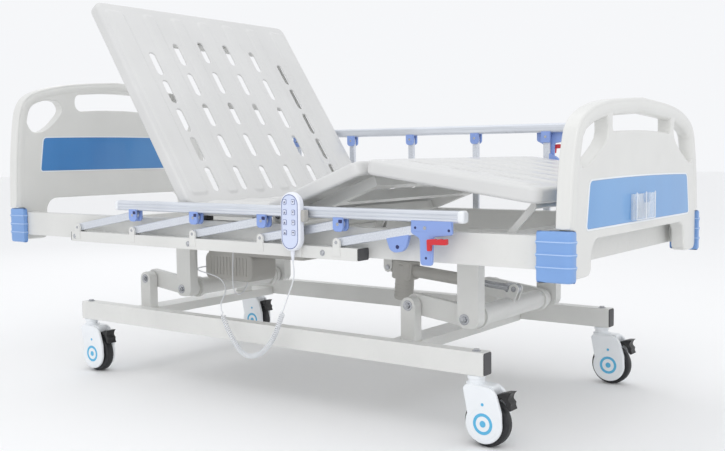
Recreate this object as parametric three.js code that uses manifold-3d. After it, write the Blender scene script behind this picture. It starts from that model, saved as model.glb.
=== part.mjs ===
// Adjustable hospital bed: three lift functions (backrest, knee, height) on a steel frame.
// Millimetres. +X runs from head to foot, +Y away from the handset side, +Z up from the floor.
import * as THREE from 'three';
import { mergeVertices } from 'three/addons/utils/BufferGeometryUtils.js';
import Module from 'manifold-3d';

const wasm = await Module();
wasm.setup();

// ---------------------------------------------------------------- driving dimensions
const GAP = 0.3; // between touching pieces

const BED_HALF_LENGTH = 1100; // over the corner bumpers
const BED_HALF_WIDTH = 475; // over the corner bumpers

const BASE = { railY: [384, 424], railX: [-753, 840], z0: 180, z1: 240, crossZ: [176, 206] };
const CASTER = { headX: -728, footX: 810, y: 404, trail: 34, wheelR: 62.5, wheelHalf: 15, axleR: 6 };

// Swing arms that raise the bed: each turns on a lug of the base and carries a leg of the bed frame.
const LIFT = {
  headLugX: -611, footLugX: 504, lugZ: 310,
  headLegX: -425.4, footLegX: 689.6, legZ: 287,
  outerY: [225, 260], armY: [200, 222], tubeR: 30,
};

const FRAME = { railOuter: 455, railInner: 415, z0: 465, z1: 545, endX: 1029.7, crossTop: 505 };

const DECK = { half: 465, bottom: 560, top: 600, corner: 26 };
const BACK_HINGE = { x: -180, z: 565, rest: 57 }; // degrees above flat
const THIGH_HINGE = { x: 150, z: 565, rest: 20.5 };
const THIGH_LENGTH = 370;
const LEG_SLOPE = -8; // slope of the leg section at rest
const SLOT_COLUMNS = [63, 190, 320]; // distance of each slot column from the centre line
const SLOT = { length: 90, width: 25 };
const ROW_PITCH = 131;

const GUARD = {
  post: 285, width: 25, fold: 9.9, pitch: 275, pivotZ: 507,
  postY: [484, 496], outerY: [496.8, 504.5], innerY: [475.5, 483.2],
  railAbove: 14, railHeight: 31,
};
const GUARD_SIDES = [
  { name: 'near', side: -1, firstX: -660, angle: GUARD.fold },
  { name: 'far', side: 1, firstX: -525, angle: 90 },
];

const BOARD = { inner: 1048, outer: 1092 };
const BUMPER = { z0: 437, z1: 558.5, innerX: 1006, wrapY: 441.5 };

// Linear actuators: rear pivot, front pivot, sideways place, all at rest.
const BACK_DRIVE = { rear: [-455, 372], lever: 70, leverAngle: -112, y: 0 };
const KNEE_DRIVE = { rear: [520, 450], lever: 80, leverAngle: -87, y: 95 };
const LIFT_DRIVE = { rear: [265, 380], lever: 60, leverAngle: 68, y: 0 };

const CORD_DIAMETER = 4;
const CURL_DIAMETER = 16;

// ---------------------------------------------------------------- solids
const rad = THREE.MathUtils.degToRad;

// A three.js geometry as a manifold solid.
function solid(geometry) {
  const bare = geometry.index ? geometry.toNonIndexed() : geometry.clone();
  bare.deleteAttribute('normal');
  bare.deleteAttribute('uv');
  const merged = mergeVertices(bare, 1e-4);
  return new wasm.Manifold(new wasm.Mesh({
    numProp: 3,
    vertProperties: new Float32Array(merged.attributes.position.array),
    triVerts: new Uint32Array(merged.index.array),
  }));
}

function join(...solids) {
  return solids.flat().reduce((whole, piece) => whole.add(piece));
}

function cut(body, ...tools) {
  return tools.flat().reduce((left, tool) => left.subtract(tool), body);
}

function box([x0, x1], [y0, y1], [z0, z1]) {
  const geometry = new THREE.BoxGeometry(x1 - x0, y1 - y0, z1 - z0);
  return solid(geometry.translate((x0 + x1) / 2, (y0 + y1) / 2, (z0 + z1) / 2));
}

// Turn a solid made along Z, in its own X and Y, so that it runs along the given axis:
// 'x' takes outlines in (y, z), 'y' takes outlines in (x, z), 'z' leaves them in (x, y).
function lay(geometry, axis) {
  const basis = new THREE.Matrix4();
  if (axis === 'x') {
    basis.makeBasis(new THREE.Vector3(0, 1, 0), new THREE.Vector3(0, 0, 1), new THREE.Vector3(1, 0, 0));
  } else if (axis === 'y') {
    basis.makeBasis(new THREE.Vector3(1, 0, 0), new THREE.Vector3(0, 0, 1), new THREE.Vector3(0, -1, 0));
  }
  return geometry.applyMatrix4(basis);
}

// An outline swept along an axis between two places, with an optional rounded edge.
function prism(shape, axis, [low, high], round = 0, steps = 1, curveSegments = 3) {
  const geometry = new THREE.ExtrudeGeometry(shape, {
    depth: high - low - 2 * round, curveSegments,
    bevelEnabled: round > 0, bevelThickness: round, bevelSize: round, bevelOffset: -round,
    bevelSegments: steps,
  });
  geometry.translate(0, 0, axis === 'y' ? round - high : low + round);
  return solid(lay(geometry, axis));
}

function rod(axis, radius, [low, high], [u, v], sides = 16) {
  const circle = new THREE.Shape();
  circle.absarc(u, v, radius, 0, 2 * Math.PI, false);
  return prism(circle, axis, [low, high], 0, 1, sides / 2);
}

function roundedRect(x0, x1, y0, y1, radius) {
  const shape = new THREE.Shape();
  shape.moveTo(x0 + radius, y0);
  shape.lineTo(x1 - radius, y0);
  shape.absarc(x1 - radius, y0 + radius, radius, -Math.PI / 2, 0, false);
  shape.absarc(x1 - radius, y1 - radius, radius, 0, Math.PI / 2, false);
  shape.absarc(x0 + radius, y1 - radius, radius, Math.PI / 2, Math.PI, false);
  shape.absarc(x0 + radius, y0 + radius, radius, Math.PI, 1.5 * Math.PI, false);
  return shape;
}

// A flat bar with round ends about two points.
function link([ax, ay], [bx, by], radius) {
  const along = Math.atan2(by - ay, bx - ax);
  const shape = new THREE.Shape();
  shape.absarc(ax, ay, radius, along + Math.PI / 2, along + 1.5 * Math.PI, false);
  shape.absarc(bx, by, radius, along - Math.PI / 2, along + Math.PI / 2, false);
  return shape;
}

function polygon(points) {
  return new THREE.Shape(points.map(([x, y]) => new THREE.Vector2(x, y)));
}

function onBothSides(make) {
  return [make(-1), make(1)];
}

// A span on one side of the centre line, lowest value first.
function sided(side, [near, far]) {
  return side > 0 ? [near, far] : [-far, -near];
}

// ---------------------------------------------------------------- scene graph
const bed = new THREE.Group();

const MATERIALS = {
  steel: { color: 0xe6e7e5, roughness: 0.35, metalness: 0.15 },
  abs: { color: 0xeeeeec, roughness: 0.4, metalness: 0 },
  bumper: { color: 0x7da5dc, roughness: 0.45, metalness: 0 },
  panel: { color: 0x5f9fd8, roughness: 0.3, metalness: 0 },
  guardBlue: { color: 0x96afe6, roughness: 0.45, metalness: 0 },
  aluminium: { color: 0xd7dee6, roughness: 0.3, metalness: 0.8 },
  red: { color: 0xdc2d32, roughness: 0.4, metalness: 0 },
  tyre: { color: 0x202124, roughness: 0.7, metalness: 0 },
  caster: { color: 0xf0f1f2, roughness: 0.35, metalness: 0 },
  black: { color: 0x17181a, roughness: 0.5, metalness: 0 },
  motor: { color: 0xa6a6a4, roughness: 0.5, metalness: 0 },
  clear: { color: 0xdcebf7, roughness: 0.1, metalness: 0 },
  handset: { color: 0xeef1f7, roughness: 0.4, metalness: 0 },
  cord: { color: 0xe9eaec, roughness: 0.5, metalness: 0 },
};

function add(name, body, material, group = bed) {
  const { numProp, vertProperties, triVerts } = body.getMesh();
  const geometry = new THREE.BufferGeometry();
  geometry.setAttribute('position', new THREE.BufferAttribute(new Float32Array(vertProperties), numProp));
  geometry.setIndex(new THREE.BufferAttribute(new Uint32Array(triVerts), 1));
  const mesh = new THREE.Mesh(geometry, new THREE.MeshStandardMaterial(MATERIALS[material]));
  mesh.name = name;
  group.add(mesh);
}

// A group turned about a hinge line parallel to Y; its pieces are modelled as they lie when flat.
// A positive angle lifts the +X end.
function turned(parent, x, z, angle) {
  const pivot = new THREE.Group();
  pivot.position.set(x, 0, z);
  pivot.rotation.y = -rad(angle);
  const flat = new THREE.Group();
  flat.position.set(-x, 0, -z);
  pivot.add(flat);
  parent.add(pivot);
  return flat;
}

// ---------------------------------------------------------------- base frame
function baseFrame() {
  const { railY, railX, z0, z1, crossZ } = BASE;
  const rails = onBothSides((side) => box(railX, sided(side, railY), [z0, z1]));
  const parts = [LIFT.headLugX, LIFT.footLugX].flatMap((lugX) => {
    const cross = box([lugX - 65, lugX + 25], [-railY[0] - 1, railY[0] + 1], crossZ);
    const lugs = onBothSides((side) => {
      const outline = link([lugX, crossZ[1] + 24 - 30], [lugX, LIFT.lugZ], 24);
      return prism(outline, 'y', sided(side, LIFT.outerY));
    });
    const below = box([lugX - 30, lugX + 30], [-300, 300], [crossZ[0] - 60, crossZ[0]]);
    return [cross, ...lugs.map((lug) => cut(lug, below))];
  });
  return join(rails, parts);
}
add('base_frame', baseFrame(), 'steel');

// ---------------------------------------------------------------- casters
// Twin white covers over the wheel, joined above it, with the axle and the stem collar.
function casterHousing(x, y) {
  const hub = [x + CASTER.trail, CASTER.wheelR];
  const cover = new THREE.Shape();
  cover.absarc(hub[0], hub[1], 56, rad(-205), rad(8), false);
  cover.lineTo(hub[0] + 44, 122);
  cover.absarc(hub[0] + 2, 122, 38, rad(15), rad(90), false);
  cover.absarc(x - 10, 144, 16, rad(90), rad(170), false);
  const covers = onBothSides((side) => prism(cover, 'y', side > 0 ? [y + 18, y + 30] : [y - 30, y - 18]));
  const bridge = box([x - 22, x + 58], [y - 19, y + 19], [130, 159.5]);
  const axle = rod('y', CASTER.axleR, [y - 19, y + 19], hub, 8);
  const collar = rod('z', 27.5, [159, BASE.z0 - GAP], [x, y], 12);
  return join(covers, bridge, axle, collar);
}

function casterWheel(x, y) {
  const { wheelR, wheelHalf, axleR } = CASTER;
  const bore = axleR + 0.6;
  const profile = [
    [bore, -wheelHalf], [wheelR, -wheelHalf], [wheelR, wheelHalf], [bore, wheelHalf], [bore, -wheelHalf],
  ].map(([radius, along]) => new THREE.Vector2(radius, along));
  const ring = new THREE.LatheGeometry(profile, 24);
  return solid(ring.translate(x + CASTER.trail, y, wheelR));
}

function casterPedal(x, y) {
  const outline = polygon([
    [x + 66, 121], [x + 76, 134], [x + 104, 112], [x + 108, 116], [x + 86, 143], [x + 64.5, 139],
  ]);
  return prism(outline, 'y', [y - 17, y + 17], 1.5, 1);
}

for (const [end, x] of [['head', CASTER.headX], ['foot', CASTER.footX]]) {
  for (const [sideName, side] of [['near', -1], ['far', 1]]) {
    const y = side * CASTER.y;
    add(`caster_housing_${end}_${sideName}`, casterHousing(x, y), 'caster');
    add(`caster_wheel_${end}_${sideName}`, casterWheel(x, y), 'tyre');
    add(`caster_pedal_${end}_${sideName}`, casterPedal(x, y), 'black');
  }
}

// ---------------------------------------------------------------- swing arms
function onCircle([x, z], radius, degrees) {
  return [x + radius * Math.cos(rad(degrees)), z + radius * Math.sin(rad(degrees))];
}

// Two ears about a plane y, each from a pivot line out to a lever tip.
function ears(from, tip, y, radius, inner = 9, thick = 6) {
  return [-1, 1].map((side) => {
    const span = side > 0 ? [y + inner, y + inner + thick] : [y - inner - thick, y - inner];
    return prism(link(from, tip, radius), 'y', span, 0, 1, 2);
  });
}

function swingArm(lugX, legX) {
  const arms = onBothSides((side) =>
    prism(link([lugX, LIFT.lugZ], [legX, LIFT.legZ], 30), 'y', sided(side, LIFT.armY)));
  const tube = rod('y', LIFT.tubeR - 0.5, [-LIFT.armY[0] - 1, LIFT.armY[0] + 1], [legX, LIFT.legZ], 16);
  const collars = onBothSides((side) => rod('y', 36, sided(side, [176, 192]), [legX, LIFT.legZ], 16));
  return join(arms, tube, collars);
}
add('head_lift_arm', swingArm(LIFT.headLugX, LIFT.headLegX), 'steel');

const liftPivot = [LIFT.footLegX, LIFT.legZ];
const liftTip = onCircle(liftPivot, LIFT_DRIVE.lever, LIFT_DRIVE.leverAngle);
const footArm = swingArm(LIFT.footLugX, LIFT.footLegX);
add('foot_lift_arm', join(footArm, ears(liftPivot, liftTip, LIFT_DRIVE.y, 15)), 'steel');

// ---------------------------------------------------------------- bed frame
const HEAD_CROSS = [-420, -380];
const MID_CROSS = [-104, -64];
const KNEE_CROSS = [40, 80];
const FOOT_CROSS = [668, 734];
const BACK_HINGE_Y = [394, 406];

function bracket([x, z], drive, topZ, radius = 16) {
  return ears([x, topZ], [x, z], drive.y, radius);
}

function bedFrame() {
  const { railOuter, railInner, z0, z1, endX, crossTop } = FRAME;
  const rails = onBothSides((side) => box([-endX, endX], sided(side, [railInner, railOuter]), [z0, z1]));
  const crossSpan = [-railInner - 1, railInner + 1];
  const crosses = [HEAD_CROSS, MID_CROSS, KNEE_CROSS, FOOT_CROSS, [-endX, 40 - endX]]
    .map((span) => box(span, crossSpan, [z0, crossTop]));
  const footBeam = box([endX - 40, endX], crossSpan, [z0, crossTop]);
  const footPlate = box([endX - 14, endX], crossSpan, [crossTop - 1, z1]);
  const legs = [LIFT.headLegX, LIFT.footLegX].flatMap((pivotX) => onBothSides((side) => {
    const outline = roundedRect(pivotX - 22, pivotX + 44, LIFT.legZ - 24, z0 + 70, 22);
    const leg = prism(outline, 'y', sided(side, LIFT.outerY), 0, 1, 2);
    return cut(leg, box([pivotX - 60, pivotX + 80], [-300, 300], [crossTop - 1, z0 + 80]));
  }));
  const hingePlates = [BACK_HINGE, THIGH_HINGE].flatMap(({ x, z }) => onBothSides((side) => {
    const plate = prism(link([x, z0 + 30], [x, z - 9], 14), 'y', sided(side, BACK_HINGE_Y));
    const foot = box([x - 14, x + 14], sided(side, [BACK_HINGE_Y[0], railInner + 1]), [z0, z0 + 24]);
    return [cut(plate, box([x - 20, x + 20], [-500, 500], [z0 - 20, z0])), foot];
  })).flat();
  const seatPads = [-120, 105].flatMap((x) =>
    onBothSides((side) => box([x - 15, x + 15], sided(side, [419, 451]), [z1 - 1, DECK.bottom - GAP])));
  const boardHooks = [-1, 1].flatMap((end) => onBothSides((side) => {
    const hook = box([1029, BOARD.inner - GAP], sided(side, [382, 414]), [z0, z1]);
    return end > 0 ? hook : hook.mirror([1, 0, 0]);
  }));
  const backBracket = bracket(BACK_DRIVE.rear, BACK_DRIVE, z0 + 10);
  const backBridge = box([BACK_DRIVE.rear[0] - 16, HEAD_CROSS[0] + 5], [-15, 15], [z0, z0 + 20]);
  const kneeBracket = bracket(KNEE_DRIVE.rear, KNEE_DRIVE, z0 + 25);
  const rearSpar = box([KNEE_DRIVE.rear[0] - 20, FOOT_CROSS[0] + 2], [KNEE_DRIVE.y - 15, KNEE_DRIVE.y + 15],
    [z0 + 10, crossTop]);
  const liftBracket = bracket(LIFT_DRIVE.rear, LIFT_DRIVE, z0 + 10);
  const liftSpar = box([KNEE_CROSS[1] - 2, LIFT_DRIVE.rear[0] + 16], [-15, 15], [z0, z0 + 24]);
  const linkEars = [-1, 1].map((side) => box([850, 880], sided(side, [LEG_LINK.y + 8, LEG_LINK.y + 14]),
    [z0 + 12, LEG_LINK.z + 12]));
  const linkShelf = [-1, 1].map((side) => box([846, 884], sided(side, [LEG_LINK.y + 7, railInner + 1]),
    [z0, z0 + 14]));
  return join(rails, crosses, footBeam, footPlate, legs, hingePlates, seatPads, boardHooks,
    backBracket, backBridge, kneeBracket, rearSpar, liftBracket, liftSpar, linkEars, linkShelf);
}

// Strut that props the leg section up from the side rails.
const LEG_LINK = { x: 864, z: 502, topX: 962, topZ: 611, y: 386, radius: 8 };
add('bed_frame', bedFrame(), 'steel');

// ---------------------------------------------------------------- mattress decks
function stadium(x, y, length, width) {
  const half = length / 2 - width / 2;
  return link([x - half, y], [x + half, y], width / 2);
}

function deck([x0, x1], slots) {
  const outline = roundedRect(x0, x1, -DECK.half, DECK.half, DECK.corner);
  const slab = prism(outline, 'z', [DECK.bottom, DECK.top], 9, 1, 2);
  const through = [DECK.bottom - 5, DECK.top + 5];
  return cut(slab, slots.map((slot) => prism(slot, 'z', through, 0, 1, 1)));
}

// Rows of the backrest bow towards the head, more so the higher the row.
const BOW = [0, 0.038, 0.132];
function backSlots() {
  const rows = [0, 1, 2, 3, 4];
  return rows.flatMap((row) => SLOT_COLUMNS.flatMap((column, i) => onBothSides((side) => {
    const reach = 100 + row * ROW_PITCH;
    const s = reach - BOW[i] * row * ROW_PITCH;
    return stadium(BACK_HINGE.x - s, side * column, SLOT.length, SLOT.width);
  })));
}

function straightSlots(places) {
  return places.flatMap((x) => SLOT_COLUMNS.flatMap((column) =>
    onBothSides((side) => stadium(x, side * column, SLOT.length, SLOT.width))));
}

const BACK_SPAN = [-978, -190];
const SEAT_SPAN = [-148, 132];
const THIGH_SPAN = [160, 514];
const LEG_SPAN = [526, 1034];

const back = turned(bed, BACK_HINGE.x, BACK_HINGE.z, -BACK_HINGE.rest);
add('backrest_deck', deck(BACK_SPAN, backSlots()), 'abs', back);
add('seat_deck', deck(SEAT_SPAN, straightSlots([-8])), 'abs');

const thigh = turned(bed, THIGH_HINGE.x, THIGH_HINGE.z, THIGH_HINGE.rest);
const kneeX = THIGH_HINGE.x + THIGH_LENGTH;
add('thigh_deck', deck(THIGH_SPAN, straightSlots([255, 386])), 'abs', thigh);

const leg = turned(thigh, kneeX, THIGH_HINGE.z, LEG_SLOPE - THIGH_HINGE.rest);
add('leg_deck', deck(LEG_SPAN, straightSlots([620, 751, 882])), 'abs', leg);

// ---------------------------------------------------------------- section frames
const TUBE = [530, DECK.bottom - GAP]; // height of the square tubes under the decks
const SIDE_TUBE = [352, 382];

function hingeEye(x, side) {
  return prism(link([x, 545], [x, 553], 11), 'y', sided(side, [SIDE_TUBE[1] - 1, BACK_HINGE_Y[0] - 0.8]));
}

function leverTip(hinge, drive) {
  return onCircle([hinge.x, hinge.z], drive.lever, drive.leverAngle);
}

// Where a lever tip that is at an angle now would lie with its section flat.
function flatTip(hinge, drive, lift) {
  return onCircle([hinge.x, hinge.z], drive.lever, drive.leverAngle - lift);
}

function backrestFrame() {
  const sides = onBothSides((side) => box([-900, BACK_HINGE.x - 2], sided(side, SIDE_TUBE), TUBE));
  const crosses = [[-900, -870], [-642, -612], [-226, -196]].map((span) =>
    box(span, [-SIDE_TUBE[0] - 1, SIDE_TUBE[0] + 1], TUBE));
  const eyes = onBothSides((side) => hingeEye(BACK_HINGE.x, side));
  const tip = flatTip(BACK_HINGE, BACK_DRIVE, -BACK_HINGE.rest);
  return join(sides, crosses, eyes, ears([-206, 545], tip, BACK_DRIVE.y, 14));
}
add('backrest_frame', backrestFrame(), 'steel', back);

function thighFrame() {
  const sides = onBothSides((side) => box([THIGH_HINGE.x + 2, 500], sided(side, SIDE_TUBE), TUBE));
  const crosses = [[166, 196], [330, 360], [470, 500]].map((span) =>
    box(span, [-SIDE_TUBE[0] - 1, SIDE_TUBE[0] + 1], TUBE));
  const eyes = onBothSides((side) => hingeEye(THIGH_HINGE.x, side));
  const tip = flatTip(THIGH_HINGE, KNEE_DRIVE, THIGH_HINGE.rest);
  return join(sides, crosses, eyes, ears([180, 545], tip, KNEE_DRIVE.y, 14));
}
add('thigh_frame', thighFrame(), 'steel', thigh);

function legLink() {
  const { x, z, topX, topZ, y, radius } = LEG_LINK;
  const outline = link([x, z], [topX, topZ], radius);
  const struts = onBothSides((side) => prism(outline, 'y', sided(side, [y, y + 7])));
  const bar = rod('y', radius, [-y - 1, y + 1], [topX, topZ], 12);
  return join(struts, bar);
}
add('leg_link', legLink(), 'steel');

// ---------------------------------------------------------------- head and foot boards
// Half outlines run from the outer foot of a leg up the side and over to the middle of the top.
const FOOT_RIM = [[462, 564], [449, 690], [427, 780], [406, 812], [378, 831], [312, 854],
  [204, 871], [0, 883]];
const HEAD_RIM = [[473, 564], [469, 690], [462, 790], [449, 890], [432, 938], [404, 967], [362, 986],
  [275, 1007], [160, 1022], [0, 1034]];
const FOOT_HOLE = [[245, 776], [246, 826], [286, 838], [345, 828], [396, 806], [419, 762],
  [396, 706], [328, 726]];
const HEAD_HOLE = [[268, 905], [272, 941], [304, 952], [363, 946], [404, 928], [420, 892],
  [395, 838], [338, 843]];

function smooth(points, count) {
  return new THREE.SplineCurve(points.map(([x, y]) => new THREE.Vector2(x, y))).getPoints(count);
}

function boardOutline(rim, archZ) {
  const right = smooth(rim, 13);
  const left = right.slice(0, -1).reverse().map((p) => new THREE.Vector2(-p.x, p.y));
  const shape = new THREE.Shape();
  shape.moveTo(0, archZ);
  shape.lineTo(295, archZ);
  shape.absarc(295, archZ - 45, 45, rad(90), 0, true);
  shape.lineTo(340, 455);
  shape.absarc(352, 455, 12, Math.PI, 1.5 * Math.PI, false);
  shape.lineTo(428, 443);
  shape.absarc(428, 455, 12, -Math.PI / 2, 0, false);
  shape.lineTo(440, BUMPER.z1 + 1);
  [...right, ...left].forEach((p) => shape.lineTo(p.x, p.y));
  shape.lineTo(-440, BUMPER.z1 + 1);
  shape.absarc(-428, 455, 12, Math.PI, 1.5 * Math.PI, false);
  shape.lineTo(-352, 443);
  shape.absarc(-352, 455, 12, -Math.PI / 2, 0, false);
  shape.absarc(-295, archZ - 45, 45, Math.PI, rad(90), true);
  return shape;
}

function cornerHole(points, side) {
  const curve = new THREE.CatmullRomCurve3(points.map(([y, z]) => new THREE.Vector3(side * y, z, 0)), true);
  return curve.getPoints(16).slice(0, -1);
}

// A grip slot that follows the arch of the top edge.
function gripSlot(half, bottom, height, rise, radius) {
  const shape = new THREE.Shape();
  shape.moveTo(-half + radius, bottom);
  shape.quadraticCurveTo(0, bottom + 2 * rise, half - radius, bottom);
  shape.quadraticCurveTo(half, bottom, half, bottom + radius);
  shape.lineTo(half, bottom + height - radius);
  shape.quadraticCurveTo(half, bottom + height, half - radius, bottom + height);
  shape.quadraticCurveTo(0, bottom + height + 2 * rise, -half + radius, bottom + height);
  shape.quadraticCurveTo(-half, bottom + height, -half, bottom + height - radius);
  shape.lineTo(-half, bottom + radius);
  shape.quadraticCurveTo(-half, bottom, -half + radius, bottom);
  return shape;
}

function panelOutline([bottomHalf, topHalf], [z0, z1], grow = 0) {
  const shape = new THREE.Shape();
  const arch = 4;
  shape.moveTo(-bottomHalf - grow, z0 - grow);
  shape.lineTo(bottomHalf + grow, z0 - grow);
  shape.lineTo(topHalf + grow, z1 + grow);
  shape.quadraticCurveTo(0, z1 + arch + grow, -topHalf - grow, z1 + grow);
  return shape;
}

function board(rim, archZ, hole, slot, window) {
  const span = [BOARD.inner, BOARD.outer];
  const body = prism(boardOutline(rim, archZ), 'x', span, 9, 1, 2);
  const through = [span[0] - 5, span[1] + 5];
  const holes = [-1, 1].map((side) => prism(new THREE.Shape(cornerHole(hole, side)), 'x', through));
  return cut(body, holes, prism(slot, 'x', through), prism(window, 'x', through));
}

const FOOT_PANEL = { halves: [372, 353], z: [557, 671] };
const HEAD_PANEL = { halves: [363, 347], z: [692, 813] };
const PANEL_SPAN = [BOARD.inner + 4, BOARD.outer + 0.5];

const footSlot = gripSlot(214, 790, 50, 6, 14);
const footWindow = panelOutline(FOOT_PANEL.halves, FOOT_PANEL.z, GAP);
add('footboard', board(FOOT_RIM, 531, FOOT_HOLE, footSlot, footWindow), 'abs');
add('footboard_panel', prism(panelOutline(FOOT_PANEL.halves, FOOT_PANEL.z), 'x', PANEL_SPAN), 'panel');

const headSlot = gripSlot(202, 916, 65, 7, 28);
const headWindow = panelOutline(HEAD_PANEL.halves, HEAD_PANEL.z, GAP);
const headBoard = board(HEAD_RIM, 590, HEAD_HOLE, headSlot, headWindow);
add('headboard', headBoard.mirror([1, 0, 0]), 'abs');
add('headboard_panel', prism(panelOutline(HEAD_PANEL.halves, HEAD_PANEL.z), 'x',
  [-BOARD.outer + 4, -BOARD.inner + 0.5]), 'panel');

// Clear pocket for the patient's chart, open at the top.
function chartHolder() {
  const x = [BOARD.outer + 0.5 + GAP, BOARD.outer + 18];
  const y = [-96, 41];
  const outer = box(x, y, [561, 630]);
  const pocket = box([x[0] + 3, x[1] - 3], [y[0] + 3, y[1] - 3], [565, 638]);
  const notch = prism(roundedRect(-55, 0, 606, 680, 10), 'x', [x[1] - 6, x[1] + 6]);
  return cut(outer, pocket, notch);
}
add('chart_holder', chartHolder(), 'clear');

// ---------------------------------------------------------------- corner bumpers
function bumper() {
  const { z0, z1, innerX, wrapY } = BUMPER;
  const shape = new THREE.Shape();
  shape.moveTo(innerX, FRAME.railOuter + GAP);
  shape.lineTo(FRAME.endX + GAP, FRAME.railOuter + GAP);
  shape.lineTo(FRAME.endX + GAP, wrapY);
  shape.lineTo(BED_HALF_LENGTH, wrapY);
  shape.absarc(BED_HALF_LENGTH - 20, BED_HALF_WIDTH - 20, 20, 0, Math.PI / 2, false);
  shape.lineTo(innerX, BED_HALF_WIDTH);
  const body = prism(shape, 'z', [z0, z1], 0, 1, 5);
  const groove = [0.27, 0.5, 0.73].map((part) => {
    const z = z0 + part * (z1 - z0);
    const depth = [BED_HALF_WIDTH - 1.5, BED_HALF_WIDTH + 5];
    return box([innerX - 5, BED_HALF_LENGTH - 24], depth, [z - 2, z + 2]);
  });
  return cut(body, groove);
}

for (const [end, flipX] of [['head', true], ['foot', false]]) {
  for (const [sideName, flipY] of [['near', true], ['far', false]]) {
    let piece = bumper();
    if (flipX) piece = piece.mirror([1, 0, 0]);
    if (flipY) piece = piece.mirror([0, 1, 0]);
    add(`bumper_${end}_${sideName}`, piece, 'bumper');
  }
}

// ---------------------------------------------------------------- folding side guards
const POSTS = [0, 1, 2, 3, 4];

// Plate on the near base rail that the handset hangs on.
function handsetHook() {
  const plate = box([285, 321], [-510.7, -506.5], [462, 600]);
  const tab = box([285, 321], [-510.7, -502], [462, 492]);
  return join(plate, tab);
}

function guardBase(side, firstX) {
  const span = [firstX - 33, firstX + 4 * GUARD.pitch + 69];
  const rail = box(span, sided(side, [FRAME.railOuter + GAP, 503]), [460, 493.5]);
  const cheeks = POSTS.flatMap((i) => [GUARD.innerY, GUARD.outerY].map((layer) => {
    const x = firstX + i * GUARD.pitch;
    const cheek = prism(link([x, 490], [x, GUARD.pivotZ], 11), 'y', sided(side, layer), 0, 1, 3);
    return cut(cheek, box([x - 20, x + 20], [-600, 600], [470, 493]));
  }));
  return join(rail, cheeks);
}

function guardPost(side, x, top) {
  const outline = link([x, GUARD.pivotZ], top, GUARD.width / 2);
  return prism(outline, 'y', sided(side, GUARD.postY), 0, 1, 3);
}

// The last post carries the catch plate that the latch of the top rail drops onto.
function latchPost(side, x, top, angle) {
  const bar = guardPost(side, x, top);
  const across = angle - 90;
  const at = (s, drop) => {
    const foot = onCircle([x, GUARD.pivotZ], s, angle);
    return onCircle(foot, drop, across);
  };
  const plate = polygon([at(160, 0), at(163, 40), at(176, 50), at(202, 50), at(216, 38), at(228, 0)]);
  return join(bar, prism(plate, 'y', sided(side, GUARD.postY)));
}

function guardRail(side, tops) {
  const last = tops[4];
  const railZ = [last[1] + GUARD.railAbove, last[1] + GUARD.railAbove + GUARD.railHeight];
  const span = [tops[0][0] - 86, last[0] + 111];
  const profileY = sided(side, [475.5, 504.5]);
  const section = roundedRect(profileY[0], profileY[1], railZ[0], railZ[1], 9);
  const rail = prism(section, 'x', span, 5, 1, 1);
  const forks = tops.slice(0, 4).flatMap(([x, z]) => [GUARD.innerY, GUARD.outerY].map((layer) =>
    box([x - 17, x + 17], sided(side, layer), [z - 20, railZ[0] + 8])));
  const block = polygon([
    [last[0] - 42, railZ[0] + 5], [last[0] - 42, last[1] - 14], [last[0] - 16, last[1] - 26],
    [last[0] - 14, last[1] - 94], [last[0] + 21, last[1] - 94], [last[0] + 24, last[1] - 22],
    [last[0] + 79, last[1] - 15], [last[0] + 79, railZ[0] + 5],
  ]);
  const latch = prism(block, 'y', sided(side, GUARD.outerY));
  const innerCheek = box([last[0] - 17, last[0] + 17], sided(side, GUARD.innerY),
    [last[1] - 20, railZ[0] + 8]);
  return join(rail, forks, latch, innerCheek);
}

// Release lever on the outer face of the latch block, from the last top pivot.
function guardLever(side, last) {
  const [x, z] = last;
  const outline = polygon([
    [x + 12, z - 27], [x + 70, z - 24], [x + 70, z - 39], [x + 24, z - 40], [x + 22, z - 56],
    [x + 13, z - 56],
  ]);
  return prism(outline, 'y', sided(side, [505.3, 517]));
}

for (const { name, side, firstX, angle } of GUARD_SIDES) {
  const tops = POSTS.map((i) => onCircle([firstX + i * GUARD.pitch, GUARD.pivotZ], GUARD.post, angle));
  const base = guardBase(side, firstX);
  add(`guard_base_${name}`, side < 0 ? join(base, handsetHook()) : base, 'steel');
  add(`guard_rail_${name}`, guardRail(side, tops), 'aluminium');
  POSTS.slice(0, 4).forEach((i) => {
    add(`guard_post_${name}_${i + 1}`, guardPost(side, firstX + i * GUARD.pitch, tops[i]), 'aluminium');
  });
  const lastX = firstX + 4 * GUARD.pitch;
  add(`guard_latch_post_${name}`, latchPost(side, lastX, tops[4], angle), 'guardBlue');
  add(`guard_lever_${name}`, guardLever(side, tops[4]), 'red');
}

// ---------------------------------------------------------------- actuators
// Body along its own +X from the rear pivot, with a bored tube that the rod slides in.
const BORE = 11.6;

function actuatorBody({ tubeEnd, boreStart, gearbox, motor }) {
  const eye = prism(link([0, 0], [30, 0], 14), 'y', [-8, 8]);
  const housing = prism(roundedRect(gearbox[0], gearbox[1], -30, 30, 8), 'y', [-27, 27]);
  const tube = rod('x', 19, [gearbox[1] - 6, tubeEnd], [0, 0], 12);
  const bore = rod('x', BORE, [boreStart, tubeEnd + 5], [0, 0], 12);
  return cut(join(eye, housing, tube, motor), bore);
}

function actuatorRod({ start, length }) {
  const bar = rod('x', 10.5, [start, length - 24], [0, 0], 12);
  const tongue = prism(link([length - 22, 0], [length, 0], 15), 'y', [-8, 8], 0, 1, 2);
  return join(bar, tongue);
}

function placeActuator(drive, tip) {
  const [x, z] = drive.rear;
  const group = new THREE.Group();
  group.position.set(x, drive.y, z);
  group.rotation.y = -Math.atan2(tip[1] - z, tip[0] - x);
  bed.add(group);
  return { group, length: Math.hypot(tip[0] - x, tip[1] - z) };
}

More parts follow.
